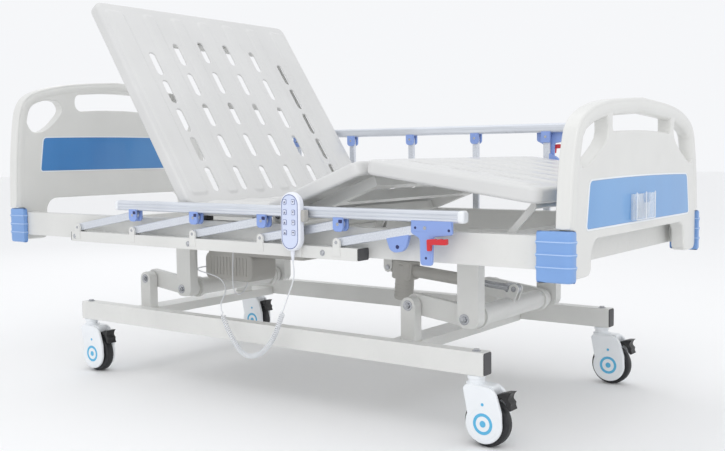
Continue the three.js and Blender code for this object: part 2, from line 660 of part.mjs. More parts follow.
const backPlace = placeActuator(BACK_DRIVE, leverTip(BACK_HINGE, BACK_DRIVE));
const backMotor = prism(roundedRect(36, 190, -34, 34, 20), 'y', [-44, 44], 8);
add('backrest_actuator', actuatorBody({
  tubeEnd: backPlace.length - 53, boreStart: 112, gearbox: [36, 116], motor: backMotor,
}), 'motor', backPlace.group);
add('backrest_rod', actuatorRod({ start: 145, length: backPlace.length }), 'aluminium', backPlace.group);

const kneePlace = placeActuator(KNEE_DRIVE, leverTip(THIGH_HINGE, KNEE_DRIVE));
const kneeMotor = prism(roundedRect(24, 90, -22, 70, 20), 'y', [28 - 4, 76], 0, 1);
add('knee_actuator', actuatorBody({
  tubeEnd: kneePlace.length - 70, boreStart: 112, gearbox: [24, 96], motor: kneeMotor,
}), 'motor', kneePlace.group);
add('knee_rod', actuatorRod({ start: 160, length: kneePlace.length }), 'aluminium', kneePlace.group);

const liftPlace = placeActuator(LIFT_DRIVE, liftTip);
const liftMotor = rod('z', 30, [-96, 20], [58, 0], 20);
add('hilo_actuator', actuatorBody({
  tubeEnd: 320, boreStart: 112, gearbox: [24, 96], motor: liftMotor,
}), 'motor', liftPlace.group);
add('hilo_rod', actuatorRod({ start: 220, length: liftPlace.length }), 'aluminium', liftPlace.group);

// ---------------------------------------------------------------- control box, handset and cords
const BOX = { x: [-375, 56], y: [-185, -65], z: [404, FRAME.z0 - GAP] };
const SUPPLY = { x: [-385, -165], z: [318, 412] };
const junction = prism(roundedRect(...BOX.x, ...BOX.y, 14), 'z', BOX.z, 4);
const supply = prism(roundedRect(...SUPPLY.x, ...SUPPLY.z, 24), 'y', BOX.y, 6);
add('control_box', join(junction, supply), 'motor');

const HANDSET = { x: [268, 338], y: [-533, -511], z: [470, 640] };
add('handset', prism(roundedRect(...HANDSET.x, ...HANDSET.z, 30), 'y', HANDSET.y, 4), 'handset');

// A free cord: an eight-sided tube along its route.
function cordAlong(points, diameter, steps) {
  const curve = new THREE.CatmullRomCurve3(points.map(([x, y, z]) => new THREE.Vector3(x, y, z)));
  const section = new THREE.Shape();
  section.absarc(0, 0, diameter / 2, 0, 2 * Math.PI, false);
  const geometry = new THREE.ExtrudeGeometry(section, {
    steps, extrudePath: curve, curveSegments: 4, bevelEnabled: false,
  });
  return solid(geometry);
}

const CORD_TOP = [
  [303, -522, 469.5], [303, -522, 450], [304, -520, 430], [295, -510, 405], [279, -502, 378],
  [258, -494, 345], [236, -487, 308.3],
];
const CORD_CURL = [
  [236, -487, 308], [219, -484, 274], [203, -481, 243], [185, -479, 215], [160, -476, 188],
  [126, -472, 164], [84, -468, 152], [48, -465, 160], [20, -461, 181], [-6, -457, 208],
  [-30, -453, 240], [-48, -449, 275],
];
const CORD_LOW = [
  [-48.6, -448.8, 276.5], [-56, -442, 293], [-68, -420, 308], [-92, -385, 322], [-153, -330, 334],
  [-230, -275, 340], [-310, -238, 344], [-375, -216, 347], [-412, -196, 350], [-428, -168, 352],
  [-422, -141, 353], [-404, -127, 353], [SUPPLY.x[0] - GAP, -125, 353],
];
add('cord_upper', cordAlong(CORD_TOP, CORD_DIAMETER, 16), 'cord');
add('cord_curl', cordAlong(CORD_CURL, CURL_DIAMETER, 22), 'cord');
add('cord_lower', cordAlong(CORD_LOW, CORD_DIAMETER, 36), 'cord');

const MOTOR_LEAD = [
  [-232, BOX.y[0] - GAP, 432], [-232, -195, 431], [-233, -202, 421], [-234, -204, 400], [-236, -204, 350],
  [-238, -202, 310], [-240, -192, 284], [-241, -170, 272], [-241, -146, 281], [-240, -131, 302],
  [-240, -130, SUPPLY.z[0] - 2 * GAP],
];
add('motor_lead', cordAlong(MOTOR_LEAD, CORD_DIAMETER, 16), 'cord');

export default bed;
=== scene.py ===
"""Adjustable hospital bed: its looks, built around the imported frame.

Metres. +X runs from head to foot, +Y away from the handset side, +Z up from the floor.
"""

import math

import bmesh
import bpy
from mathutils import Matrix, Vector
from mathutils.geometry import tessellate_polygon


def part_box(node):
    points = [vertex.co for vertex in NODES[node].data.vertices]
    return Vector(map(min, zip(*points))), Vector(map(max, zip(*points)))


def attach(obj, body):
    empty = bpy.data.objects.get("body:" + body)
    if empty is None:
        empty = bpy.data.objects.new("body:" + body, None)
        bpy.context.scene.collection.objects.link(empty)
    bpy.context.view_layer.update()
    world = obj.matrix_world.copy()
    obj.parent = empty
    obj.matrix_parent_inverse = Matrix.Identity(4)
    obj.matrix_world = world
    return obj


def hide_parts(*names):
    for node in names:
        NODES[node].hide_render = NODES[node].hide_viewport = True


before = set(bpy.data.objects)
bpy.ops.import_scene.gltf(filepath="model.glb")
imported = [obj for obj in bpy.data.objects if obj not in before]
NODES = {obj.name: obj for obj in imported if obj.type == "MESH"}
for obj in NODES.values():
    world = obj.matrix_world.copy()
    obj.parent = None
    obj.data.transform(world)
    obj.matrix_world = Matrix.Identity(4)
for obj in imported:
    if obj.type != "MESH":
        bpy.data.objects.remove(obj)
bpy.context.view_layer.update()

# ---------------------------------------------------------------- sizes shared with the frame
SIDES = (("near", -1), ("far", 1))
ENDS = (("head", -1), ("foot", 1))

BACK_HINGE = (-0.18, 0.565)
BACK_REST = 57.0
THIGH_HINGE = (0.15, 0.565)
THIGH_REST = 20.5
KNEE_X = 0.52
LEG_TURN = -28.5
DECK_HALF = 0.465
DECK_BOTTOM, DECK_TOP = 0.56, 0.6
SLOT_COLUMNS = (0.063, 0.19, 0.32)
ROW_PITCH = 0.131

# The x of the first post's foot, and the angle of the posts above +X: folded and upright.
GUARDS = {
    "near": {"side": -1, "first": -0.66, "angle": 9.9},
    "far": {"side": 1, "first": -0.525, "angle": 90.0},
}
POST_LENGTH = 0.285
POST_PITCH = 0.275
POST_PIVOT_Z = 0.507
POSTS = 5

CASTER_X = {"head": -0.728, "foot": 0.81}
CASTER_Y = 0.404
CASTER_TRAIL = 0.034
WHEEL_RADIUS = 0.0625

BOARD_X = (1.048, 1.092)
LUG_X = {"head": -0.611, "foot": 0.504}
LEG_X = {"head": -0.4254, "foot": 0.6896}
LUG_Z, LEG_Z = 0.31, 0.287


# ---------------------------------------------------------------- camera and stage
def make_camera():
    """The camera fitted to the photo."""
    azimuth, elevation, roll = (math.radians(a) for a in (36.7147, 4.3225, -0.6538))
    flat = math.cos(elevation)
    forward = Vector((-math.sin(azimuth) * flat, math.cos(azimuth) * flat, -math.sin(elevation)))
    level = Vector((math.cos(azimuth), math.sin(azimuth), 0))
    above = level.cross(forward)
    right = level * math.cos(roll) + above * math.sin(roll)
    up = above * math.cos(roll) - level * math.sin(roll)
    data = bpy.data.cameras.new("camera")
    data.sensor_width = 36
    data.lens = 47.62
    data.shift_x = 0.0051
    data.shift_y = 0.0003
    camera = bpy.data.objects.new("camera", data)
    camera.matrix_world = Matrix((right, up, -forward)).transposed().to_4x4()
    camera.location = (2.0107, -2.508, 0.7436)
    bpy.context.scene.collection.objects.link(camera)
    bpy.context.scene.camera = camera


make_camera()


def area_light(name, place, target, size, power):
    """A rectangular light at place that faces target."""
    data = bpy.data.lights.new(name, "AREA")
    data.shape = "RECTANGLE"
    data.size, data.size_y = size
    data.energy = power
    light = bpy.data.objects.new(name, data)
    light.location = place
    light.rotation_euler = (Vector(target) - Vector(place)).to_track_quat("-Z", "Y").to_euler()
    bpy.context.scene.collection.objects.link(light)


def make_studio():
    """A near-white world with three soft lights, and the floor."""
    world = bpy.data.worlds.new("studio")
    bpy.context.scene.world = world
    world.use_nodes = True
    background = world.node_tree.nodes["Background"]
    background.inputs["Color"].default_value = (0.97, 0.98, 1.0, 1)
    background.inputs["Strength"].default_value = 0.95
    middle = (0, 0, 0.5)
    area_light("key", (2.2, -3.4, 3.4), middle, (2.6, 2.6), 34)
    area_light("top", (-0.4, 0.2, 4.2), middle, (4.0, 3.0), 16)
    area_light("rim", (-3.4, 2.6, 2.4), middle, (2.4, 2.0), 8)
    bpy.context.scene.view_settings.view_transform = "Standard"

    floor = bpy.data.meshes.new("floor")
    half = 30
    floor.from_pydata([(-half, -half, 0), (half, -half, 0), (half, half, 0), (-half, half, 0)], [],
                      [(0, 1, 2, 3)])
    stage = bpy.data.objects.new("floor", floor)
    bpy.context.scene.collection.objects.link(stage)
    material = bpy.data.materials.new("floor")
    material.use_nodes = True
    shader = material.node_tree.nodes["Principled BSDF"]
    shader.inputs["Base Color"].default_value = (0.93, 0.93, 0.93, 1)
    shader.inputs["Roughness"].default_value = 0.9
    floor.materials.append(material)


make_studio()


# ---------------------------------------------------------------- materials
class Graph:
    """A material's node graph, with the few nodes that every surface here uses."""

    def __init__(self, name):
        self.material = bpy.data.materials.new(name)
        self.material.use_nodes = True
        self.tree = self.material.node_tree
        self.shader = self.tree.nodes["Principled BSDF"]
        self.place = self.add("ShaderNodeTexCoord").outputs["Object"]

    def add(self, kind, **settings):
        node = self.tree.nodes.new(kind)
        for key, value in settings.items():
            setattr(node, key, value)
        return node

    def join(self, source, socket):
        self.tree.links.new(source, socket)

    def give(self, name, value):
        """Set an input of the surface to a number, a colour or another node's output."""
        socket = self.shader.inputs[name]
        if isinstance(value, bpy.types.NodeSocket):
            self.join(value, socket)
        else:
            socket.default_value = value

    def noise(self, scale, detail=3, stretch=(1, 1, 1), roughness=0.5):
        mapping = self.add("ShaderNodeMapping")
        mapping.inputs["Scale"].default_value = stretch
        self.join(self.place, mapping.inputs["Vector"])
        noise = self.add("ShaderNodeTexNoise")
        noise.inputs["Scale"].default_value = scale
        noise.inputs["Detail"].default_value = detail
        noise.inputs["Roughness"].default_value = roughness
        self.join(mapping.outputs["Vector"], noise.inputs["Vector"])
        return noise.outputs["Fac"]

    def span(self, value, low, high, start=0.35, end=0.65):
        """A noise value spread from low to high."""
        node = self.add("ShaderNodeMapRange")
        node.inputs["From Min"].default_value = start
        node.inputs["From Max"].default_value = end
        node.inputs["To Min"].default_value = low
        node.inputs["To Max"].default_value = high
        self.join(value, node.inputs["Value"])
        return node.outputs["Result"]

    def blend(self, factor, first, second):
        node = self.add("ShaderNodeMix", data_type="RGBA")
        self.join(factor, node.inputs["Factor"])
        for socket, value in ((node.inputs[6], first), (node.inputs[7], second)):
            if isinstance(value, tuple):
                socket.default_value = (*value, 1)
            else:
                self.join(value, socket)
        return node.outputs[2]

    def bump(self, heights):
        """Heights are (value, depth in metres) pairs, laid over each other."""
        normal = None
        for value, depth in heights:
            node = self.add("ShaderNodeBump")
            node.inputs["Distance"].default_value = depth
            self.join(value, node.inputs["Height"])
            if normal:
                self.join(normal, node.inputs["Normal"])
            normal = node.outputs["Normal"]
        self.join(normal, self.shader.inputs["Normal"])


def linear(*values):
    """Display values from 0 to 255 as linear ones."""
    return tuple((v / 255 / 12.92) if v <= 10 else ((v / 255 + 0.055) / 1.055) ** 2.4 for v in values)


def shade(color, factor):
    return tuple(c * factor for c in color)


def moulded(name, color, roughness, grain=0.000006, grain_scale=500, worn=0.94, coat=0.0):
    """Moulded plastic: fine spark-eroded grain, slow tone drift and a little handling haze."""
    graph = Graph(name)
    base = linear(*color)
    cloud = graph.noise(4.5, 2)
    haze = graph.noise(14, 2)
    mixed = graph.blend(graph.span(cloud, 0, 1), base, shade(base, worn))
    scuffed = graph.blend(graph.span(haze, 0, 0.3, 0.5, 0.8), mixed, shade(base, 0.92))
    graph.give("Base Color", scuffed)
    graph.give("Roughness", graph.span(haze, roughness - 0.02, roughness + 0.05))
    graph.give("Coat Weight", coat)
    graph.give("Coat Roughness", 0.12)
    graph.bump([(graph.noise(grain_scale, 2), grain)])
    return graph.material


def powder_coat(name, color, roughness=0.33):
    """Powder-coated steel: orange peel, faint dust and slightly darker, rubbed patches."""
    graph = Graph(name)
    base = linear(*color)
    cloud = graph.noise(4.5, 6)
    dust = graph.noise(60, 5, roughness=0.65)
    mixed = graph.blend(graph.span(cloud, 0, 1), base, shade(base, 0.93))
    dusty = graph.blend(graph.span(dust, 0, 0.5, 0.6, 0.82), mixed, shade(base, 0.84))
    graph.give("Base Color", dusty)
    graph.give("Roughness", graph.span(dust, roughness - 0.04, roughness + 0.12))
    graph.give("Coat Weight", 0.15)
    graph.bump([(graph.noise(420, 3), 0.00004)])
    return graph.material


def metal(name, color, roughness, stretch):
    """Drawn or brushed metal with fine lines across the axes that aren't stretched."""
    graph = Graph(name)
    base = linear(*color)
    lines = graph.noise(260, 3, stretch)
    cloud = graph.noise(7, 4)
    mixed = graph.blend(graph.span(lines, 0, 1), base, shade(base, 0.86))
    clouded = graph.blend(graph.span(cloud, 0, 0.4), mixed, shade(base, 0.8))
    graph.give("Base Color", clouded)
    graph.give("Roughness", graph.span(lines, roughness - 0.06, roughness + 0.1))
    graph.give("Metallic", 0.85)
    graph.bump([(lines, 0.00006)])
    return graph.material


def rubber(name, color, roughness):
    """Rubber or polyurethane tread with a dusty bloom."""
    graph = Graph(name)
    base = linear(*color)
    dust = graph.noise(45, 6, roughness=0.7)
    bloom = tuple(c + 0.05 for c in base)
    graph.give("Base Color", graph.blend(graph.span(dust, 0, 0.6, 0.45, 0.8), base, bloom))
    graph.give("Roughness", graph.span(dust, roughness - 0.08, roughness + 0.12))
    graph.bump([(graph.noise(600, 3), 0.0002)])
    return graph.material


def laminate(name, color, edge):
    """Printed laminate under a glossy coat: slow tone drift and faint upright bands."""
    graph = Graph(name)
    base, deep = linear(*color), linear(*edge)
    drift = graph.noise(1.6, 3)
    fibre = graph.noise(16, 2, (1, 1, 0.06))
    tone = graph.blend(graph.span(drift, 0, 1), base, deep)
    streaked = graph.blend(graph.span(fibre, 0, 0.22), tone, tuple(min(1, c * 1.05) for c in base))
    graph.give("Base Color", streaked)
    graph.give("Roughness", graph.span(fibre, 0.28, 0.33))
    graph.give("Coat Weight", 0.5)
    graph.give("Coat Roughness", 0.08)
    graph.bump([(graph.noise(800, 2), 0.00001)])
    return graph.material


def clear_plastic(name):
    """Thin clear plastic with faint smears in its gloss."""
    graph = Graph(name)
    smear = graph.noise(22, 4)
    graph.give("Roughness", graph.span(smear, 0.03, 0.1))
    graph.give("Base Color", (0.95, 0.98, 1.0, 1))
    graph.give("Alpha", 0.22)
    graph.give("IOR", 1.45)
    graph.bump([(graph.noise(30, 2), 0.00004)])
    return graph.material


# The maker of each material, then what it takes after the name.
LOOKS = {
    "steel": (powder_coat, (226, 226, 223)),
    "steel_shade": (powder_coat, (214, 214, 208)),
    "deck": (moulded, (216, 216, 215), 0.34, 0.00001, 500, 0.96, 0.25),
    "board": (moulded, (226, 226, 223), 0.3, 0.000004, 400, 0.97, 0.25),
    "panel_foot": (laminate, (112, 168, 222), (92, 152, 212)),
    "panel_head": (laminate, (74, 142, 204), (56, 124, 190)),
    # Near-white: the panels' edging, and the painted highlights along the chart holder's edges.
    "outline": (moulded, (242, 246, 250), 0.3),
    "bumper": (moulded, (128, 168, 224), 0.36, 0.00004, 800, 0.93, 0.15),
    # Light blue of the bumpers' ridge crests: painted highlights.
    "ridge": (moulded, (178, 206, 244), 0.3),
    "guard": (moulded, (142, 168, 228), 0.36, 0.00004, 800, 0.93, 0.1),
    "navy": (moulded, (38, 44, 96), 0.42),
    "aluminium": (metal, (232, 236, 243), 0.38, (0.02, 1, 1)),
    "post": (metal, (232, 236, 243), 0.4, (1, 1, 1)),
    "bright": (metal, (190, 192, 196), 0.22, (0.05, 1, 1)),
    "red": (moulded, (214, 36, 46), 0.32, 0.00002, 900, 0.92, 0.2),
    "caster": (moulded, (240, 243, 246), 0.3, 0.00002, 900, 0.97, 0.3),
    "ring": (moulded, (92, 184, 226), 0.3),
    "tyre": (rubber, (30, 31, 34), 0.5),
    "black": (rubber, (20, 20, 22), 0.42),
    "motor": (moulded, (184, 182, 177), 0.45, 0.00002, 500, 0.9),
    "dark": (moulded, (74, 74, 76), 0.5, 0.00006, 600, 0.9),
    "handset": (moulded, (236, 239, 247), 0.3, 0.00002, 900, 0.97, 0.2),
    "keypad": (laminate, (214, 222, 244), (204, 214, 240)),
    "key": (moulded, (112, 124, 168), 0.4),
    "key_print": (moulded, (225, 230, 245), 0.4),
    "cord": (moulded, (233, 235, 238), 0.38, 0.00003, 900, 0.95),
    "clear": (clear_plastic,),
}
MATERIALS = {name: make(name, *values) for name, (make, *values) in LOOKS.items()}


# ---------------------------------------------------------------- shapes
AXES = {
    "x": Matrix(((0, 0, 1), (1, 0, 0), (0, 1, 0))),
    "y": Matrix(((1, 0, 0), (0, 0, 1), (0, 1, 0))),
    "z": Matrix.Identity(3),
}


def turn(hinge, degrees):
    """The turn of a section about a hinge line parallel to Y; a positive angle lifts the foot end."""
    place = Vector((hinge[0], 0, hinge[1]))
    about = Matrix.Rotation(-math.radians(degrees), 4, "Y")
    return Matrix.Translation(place) @ about @ Matrix.Translation(-place)


THIGH_PLACE = turn(THIGH_HINGE, THIGH_REST)
PLACES = {
    "backrest": turn(BACK_HINGE, -BACK_REST),
    "thigh": THIGH_PLACE,
    "leg": THIGH_PLACE @ turn((KNEE_X, THIGH_HINGE[1]), LEG_TURN),
}


def arc(center, radius, start, end, steps):
    """Points on a circle; radius is a number or a (u, v) pair."""
    ru, rv = radius if isinstance(radius, tuple) else (radius, radius)
    angles = [math.radians(start + (end - start) * i / steps) for i in range(steps + 1)]
    return [(center[0] + ru * math.cos(a), center[1] + rv * math.sin(a)) for a in angles]


def circle(center, radius, steps=32):
    return arc(center, radius, 0, 360, steps)[:-1]


def rounded_rect(u0, u1, v0, v1, radius, steps):
    corners = ((u1 - radius, v0 + radius, -90), (u1 - radius, v1 - radius, 0),
               (u0 + radius, v1 - radius, 90), (u0 + radius, v0 + radius, 180))
    return [p for u, v, start in corners for p in arc((u, v), radius, start, start + 90, steps)]


def rect_about(u, v, half_u, half_v, radius, steps):
    return rounded_rect(u - half_u, u + half_u, v - half_v, v + half_v, radius, steps)


def link(a, b, radius, steps=10):
    """A flat bar with round ends about two points."""
    along = math.degrees(math.atan2(b[1] - a[1], b[0] - a[0]))
    return arc(a, radius, along + 90, along + 270, steps) + arc(b, radius, along - 90, along + 90, steps)


def smooth_path(points, steps, closed=False):
    """A Catmull-Rom curve through points of any dimension."""
    points = [Vector(p) for p in points]
    count = len(points)
    if closed:
        ring = [points[-1], *points, points[0], points[1]]
    else:
        ring = [2 * points[0] - points[1], *points, 2 * points[-1] - points[-2]]
    path = []
    for i in range(count if closed else count - 1):
        a, b, c, d = ring[i:i + 4]
        for k in range(steps):
            t = k / steps
            path.append(0.5 * (2 * b + (c - a) * t + (2 * a - 5 * b + 4 * c - d) * t ** 2
                               + (3 * b - a - 3 * c + d) * t ** 3))
    return path if closed else [*path, points[-1]]


def rounded_corners(points, radius, steps=5):
    """A polygon with each corner replaced by a curve; radius is one number or one per corner."""
    count = len(points)
    radii = radius if isinstance(radius, (list, tuple)) else [radius] * count
    out = []
    for i, corner in enumerate(points):
        corner = Vector(corner)
        before, after = Vector(points[i - 1]), Vector(points[(i + 1) % count])
        if radii[i] <= 0:
            out.append(tuple(corner))
            continue
        start = corner + (before - corner).normalized() * radii[i]
        end = corner + (after - corner).normalized() * radii[i]
        for k in range(steps + 1):
            t = k / steps
            out.append(tuple(start * (1 - t) ** 2 + corner * 2 * t * (1 - t) + end * t ** 2))
    return out


def rounded_outline(corners, origin=(0, 0)):
    """An outline of (u, v, radius) corners about an origin."""
    points = [(origin[0] + u, origin[1] + v) for u, v, _ in corners]
    return rounded_corners(points, [radius for _, _, radius in corners])


def signed_area(loop):
    return sum(a[0] * b[1] - b[0] * a[1] for a, b in zip(loop, loop[1:] + loop[:1])) / 2


def inset(loop, distance):
    """A closed outline moved inwards along the corner normals."""
    out = []
    for i, point in enumerate(loop):
        point = Vector(point)
        before = (point - Vector(loop[i - 1]))
        after = (Vector(loop[(i + 1) % len(loop)]) - point)
        if before.length < 1e-7 or after.length < 1e-7:
            before = after = before if before.length > after.length else after
        n1 = Vector((-before.y, before.x)).normalized()
        n2 = Vector((-after.y, after.x)).normalized()
        normal = n1 + n2
        normal = normal.normalized() if normal.length > 1e-6 else n1
        reach = distance / max(0.35, normal.dot(n1))
        out.append(tuple(point + normal * reach))
    return out


class Shape:
    """One piece's mesh, built up from closed solids."""

    def __init__(self, name, place=Matrix.Identity(4)):
        self.name = name
        self.mesh = bmesh.new()
        self.place = place

    def vert(self, point):
        return self.mesh.verts.new(self.place @ Vector(point))

    def bridge(self, first, second):
        """A closed band of faces between two rings."""
        for i in range(len(first)):
            k = (i + 1) % len(first)
            self.mesh.faces.new((first[i], first[k], second[k], second[i]))

    def stack(self, pieces, turn_to):
        """Outlines swept through (height, inset) levels. The first is the outside, the rest are holes."""
        caps = ([], [])
        for number, (loop, levels) in enumerate(pieces):
            loop = list(loop)
            if (signed_area(loop) > 0) == bool(number):
                loop.reverse()
            outlines = [inset(loop, back) for _, back in levels]
            rings = [[self.vert(turn_to @ Vector((u, v, w))) for u, v in outline]
                     for (w, _), outline in zip(levels, outlines)]
            for lower, upper in zip(rings, rings[1:]):
                self.bridge(lower, upper)
            caps[0].append((rings[0], outlines[0]))
            caps[1].append((rings[-1], outlines[-1]))
        for cap in caps:
            verts = [v for ring, _ in cap for v in ring]
            flat = [[Vector((u, v, 0)) for u, v in outline] for _, outline in cap]
            for triangle in tessellate_polygon(flat):
                self.mesh.faces.new([verts[i] for i in triangle])
        return self

    def prism(self, loops, axis, span, edge=0.0, steps=3, hole_scale=1.0):
        """Outlines swept along an axis with rounded rims. The first loop is the outside."""
        low, high = span
        rounding = [(0, 0)]
        if edge:
            angles = [math.pi / 2 * k / steps for k in range(steps + 1)]
            rounding = [(edge * (1 - math.cos(a)), edge * (1 - math.sin(a))) for a in angles]
        levels = [(low + drop, back) for drop, back in rounding]
        levels += [(high - drop, back) for drop, back in reversed(rounding)]
        hole_levels = [(w, back * hole_scale) for w, back in levels]
        pieces = [(loop, hole_levels if number else levels) for number, loop in enumerate(loops)]
        return self.stack(pieces, AXES[axis])

    def tray(self, outline, holes, heights, wall, edge):
        """An open-bottomed moulding: a thin skin with funnelled holes and a skirt around it."""
        bottom, ceiling, top = heights
        lip, mouth, hem = 0.003, 0.004, 0.009
        quarter = [math.pi / 2 * k / 4 for k in range(5)]
        skirt = [(ceiling, wall + lip), (bottom + lip, wall), (bottom, wall - lip)]
        skirt += [(bottom + hem * (1 - math.cos(a)), hem * (1 - math.sin(a))) for a in quarter]
        skirt += [(top - edge * (1 - math.sin(a)), edge * (1 - math.cos(a))) for a in quarter]
        funnel = [(ceiling, 0)]
        funnel += [(top - mouth * (1 - math.sin(a)), mouth * (1 - math.cos(a))) for a in quarter]
        return self.stack([(outline, skirt), *((hole, funnel) for hole in holes)], AXES["z"])

    def rod(self, axis, radius, span, center, edge=0.001, sides=32):
        return self.prism([circle(center, radius, sides)], axis, span, edge, 2)

    def tube(self, path, radii, sides):
        """A round tube along a path of points, with a radius for each of them."""
        path = [Vector(p) for p in path]
        rings = []
        normal = None
        for i, point in enumerate(path):
            ahead = (path[min(i + 1, len(path) - 1)] - path[max(i - 1, 0)]).normalized()
            if normal is None:
                normal = ahead.orthogonal().normalized()
            normal = (normal - ahead * normal.dot(ahead)).normalized()
            other = ahead.cross(normal)
            rings.append([self.vert(point + (normal * math.cos(a) + other * math.sin(a)) * radii[i])
                          for a in (2 * math.pi * k / sides for k in range(sides))])
        for lower, upper in zip(rings, rings[1:]):
            self.bridge(lower, upper)
        self.mesh.faces.new(rings[0][::-1])
        self.mesh.faces.new(rings[-1])
        return self

    def relief(self, axis, profile, center, sides):
        """A ribbed strain relief along an axis through center, by its (along, radius) profile."""
        path = [AXES[axis] @ Vector((*center, along)) for along, _ in profile]
        return self.tube(path, [radius for _, radius in profile], sides)

    def loft(self, rings):
        """A closed solid through equal rings of points, with flat ends."""
        made = [[self.vert(p) for p in ring] for ring in rings]
        for lower, upper in zip(made, made[1:]):
            self.bridge(lower, upper)
        self.mesh.faces.new(made[0][::-1])
        self.mesh.faces.new(made[-1])
        return self

    def lathe(self, profile, axis, center, sides=48):
        """A closed (radius, along) profile turned about an axis through center."""
        turn_to = AXES[axis]
        rings = []
        for k in range(sides):
            a = 2 * math.pi * k / sides
            rings.append([self.vert(turn_to @ Vector((center[0] + r * math.cos(a),
                                                      center[1] + r * math.sin(a), w)))
                          for r, w in profile])
        for first, second in zip(rings, rings[1:] + rings[:1]):
            self.bridge(first, second)
        return self

    def done(self, body, material, replaces=(), sharp=38, bevel=0.0):
        bmesh.ops.remove_doubles(self.mesh, verts=self.mesh.verts, dist=2e-6)
        bmesh.ops.recalc_face_normals(self.mesh, faces=self.mesh.faces)
        data = bpy.data.meshes.new(self.name)
        self.mesh.to_mesh(data)
        self.mesh.free()
        data.shade_smooth()
        data.set_sharp_from_angle(angle=math.radians(sharp))
        data.materials.append(MATERIALS[material])
        piece = bpy.data.objects.new(self.name, data)
        bpy.context.scene.collection.objects.link(piece)
        if bevel:
            rounding = piece.modifiers.new("edges", "BEVEL")
            rounding.width = bevel
            rounding.segments = 3
            rounding.limit_method = "ANGLE"
            rounding.angle_limit = math.radians(40)
            rounding.use_clamp_overlap = True
        shading = piece.modifiers.new("shading", "WEIGHTED_NORMAL")
        shading.keep_sharp = True
        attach(piece, body)
        if replaces:
            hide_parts(*replaces)
        return piece


def refined(node, body, material, bevel=0.0015, sharp=32):
    """The frame's own solid with its triangles paired up and every edge rounded."""
    shape = Shape(node + "_shell")
    shape.mesh.from_mesh(NODES[node].data)
    bmesh.ops.remove_doubles(shape.mesh, verts=shape.mesh.verts, dist=1e-5)
    bmesh.ops.join_triangles(shape.mesh, faces=shape.mesh.faces, angle_face_threshold=math.radians(0.6),
                             angle_shape_threshold=math.pi)
    return shape.done(body, material, (node,), sharp, bevel)


# ---------------------------------------------------------------- cords
CORD_RADIUS = 0.002
CURL_RADIUS = 0.006
CURL_PITCH = 0.0068
TURN_POINTS = 12
CURL_EASE = 0.022
# The handset cord's route: straight down, a curly hank hanging in a bow, then up to the supply.
CORD_TOP = [
    (0.303, -0.522, 0.4695), (0.303, -0.522, 0.45), (0.304, -0.52, 0.43), (0.295, -0.51, 0.405),
    (0.279, -0.502, 0.378), (0.258, -0.494, 0.345), (0.236, -0.487, 0.3083),
]
CORD_CURL = [
    (0.236, -0.487, 0.308), (0.219, -0.484, 0.274), (0.203, -0.481, 0.243), (0.185, -0.479, 0.215),
    (0.16, -0.476, 0.188), (0.126, -0.472, 0.164), (0.084, -0.468, 0.152), (0.048, -0.465, 0.16),
    (0.02, -0.461, 0.181), (-0.006, -0.457, 0.208), (-0.03, -0.453, 0.24), (-0.048, -0.449, 0.275),
]
CORD_LOW = [
    (-0.0486, -0.4488, 0.2765), (-0.056, -0.442, 0.293), (-0.068, -0.42, 0.308),
    (-0.092, -0.385, 0.322), (-0.153, -0.33, 0.334), (-0.23, -0.275, 0.34),
    (-0.31, -0.238, 0.344), (-0.375, -0.216, 0.347), (-0.412, -0.196, 0.35),
    (-0.428, -0.168, 0.352), (-0.422, -0.141, 0.353), (-0.404, -0.127, 0.353),
    (-0.3853, -0.125, 0.353),
]
MOTOR_LEAD = [
    (-0.232, -0.1853, 0.432), (-0.232, -0.195, 0.431), (-0.233, -0.202, 0.421), (-0.234, -0.204, 0.4),
    (-0.236, -0.204, 0.35), (-0.238, -0.202, 0.31), (-0.24, -0.192, 0.284), (-0.241, -0.17, 0.272),
    (-0.241, -0.146, 0.281), (-0.24, -0.131, 0.302), (-0.24, -0.13, 0.3174),
]


def path_length(path):
    return sum((b - a).length for a, b in zip(path, path[1:]))


def helix(path):
    """A wire wound round a path, easing out of it and back into it at the ends."""
    total = path_length(path)
    steps = round(total / CURL_PITCH * TURN_POINTS)
    stride = total / steps
    wire = []
    normal = Vector((0, -1, 0))
    distance = angle = 0.0
    index = 0
    for k in range(steps + 1):
        target = k * stride
        while index < len(path) - 2 and distance + (path[index + 1] - path[index]).length < target:
            distance += (path[index + 1] - path[index]).length
            index += 1
        ahead = (path[index + 1] - path[index]).normalized()
        middle = path[index] + ahead * (target - distance)
        normal = (normal - ahead * normal.dot(ahead)).normalized()
        other = ahead.cross(normal)
        ease = min(1, target / CURL_EASE, (total - target) / CURL_EASE)
        ease *= ease * (3 - 2 * ease)
        angle += 2 * math.pi / TURN_POINTS * ease ** 3
        wire.append(middle + (normal * math.cos(angle) + other * math.sin(angle)) * CURL_RADIUS * ease)
    return wire


def spline_piece(name, points, radius, material):
    """A round cord through points."""
    data = bpy.data.curves.new(name, "CURVE")
    data.dimensions = "3D"
    data.bevel_depth = radius
    data.bevel_resolution = 3
    data.use_fill_caps = True
    spline = data.splines.new("POLY")
    spline.points.add(len(points) - 1)
    for point, place in zip(spline.points, points):
        point.co = (*place, 1)
    spline.use_smooth = True
    data.materials.append(MATERIALS[material])
    piece = bpy.data.objects.new(name, data)
    bpy.context.scene.collection.objects.link(piece)
    return piece


def make_cord(name, route, nodes):
    """A cord on the bed frame along the route, standing for the named nodes."""
    cord = spline_piece(name, route, CORD_RADIUS, "cord")
    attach(cord, "bed")
    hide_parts(*nodes)


def make_cords():
    curl = helix(smooth_path(CORD_CURL, 24))
    route = smooth_path(CORD_TOP, 8) + curl[1:-1] + smooth_path(CORD_LOW, 8)
    make_cord("handset_cord", route, ("cord_upper", "cord_curl", "cord_lower"))
    make_cord("supply_lead", smooth_path(MOTOR_LEAD, 8), ("motor_lead",))


make_cords()


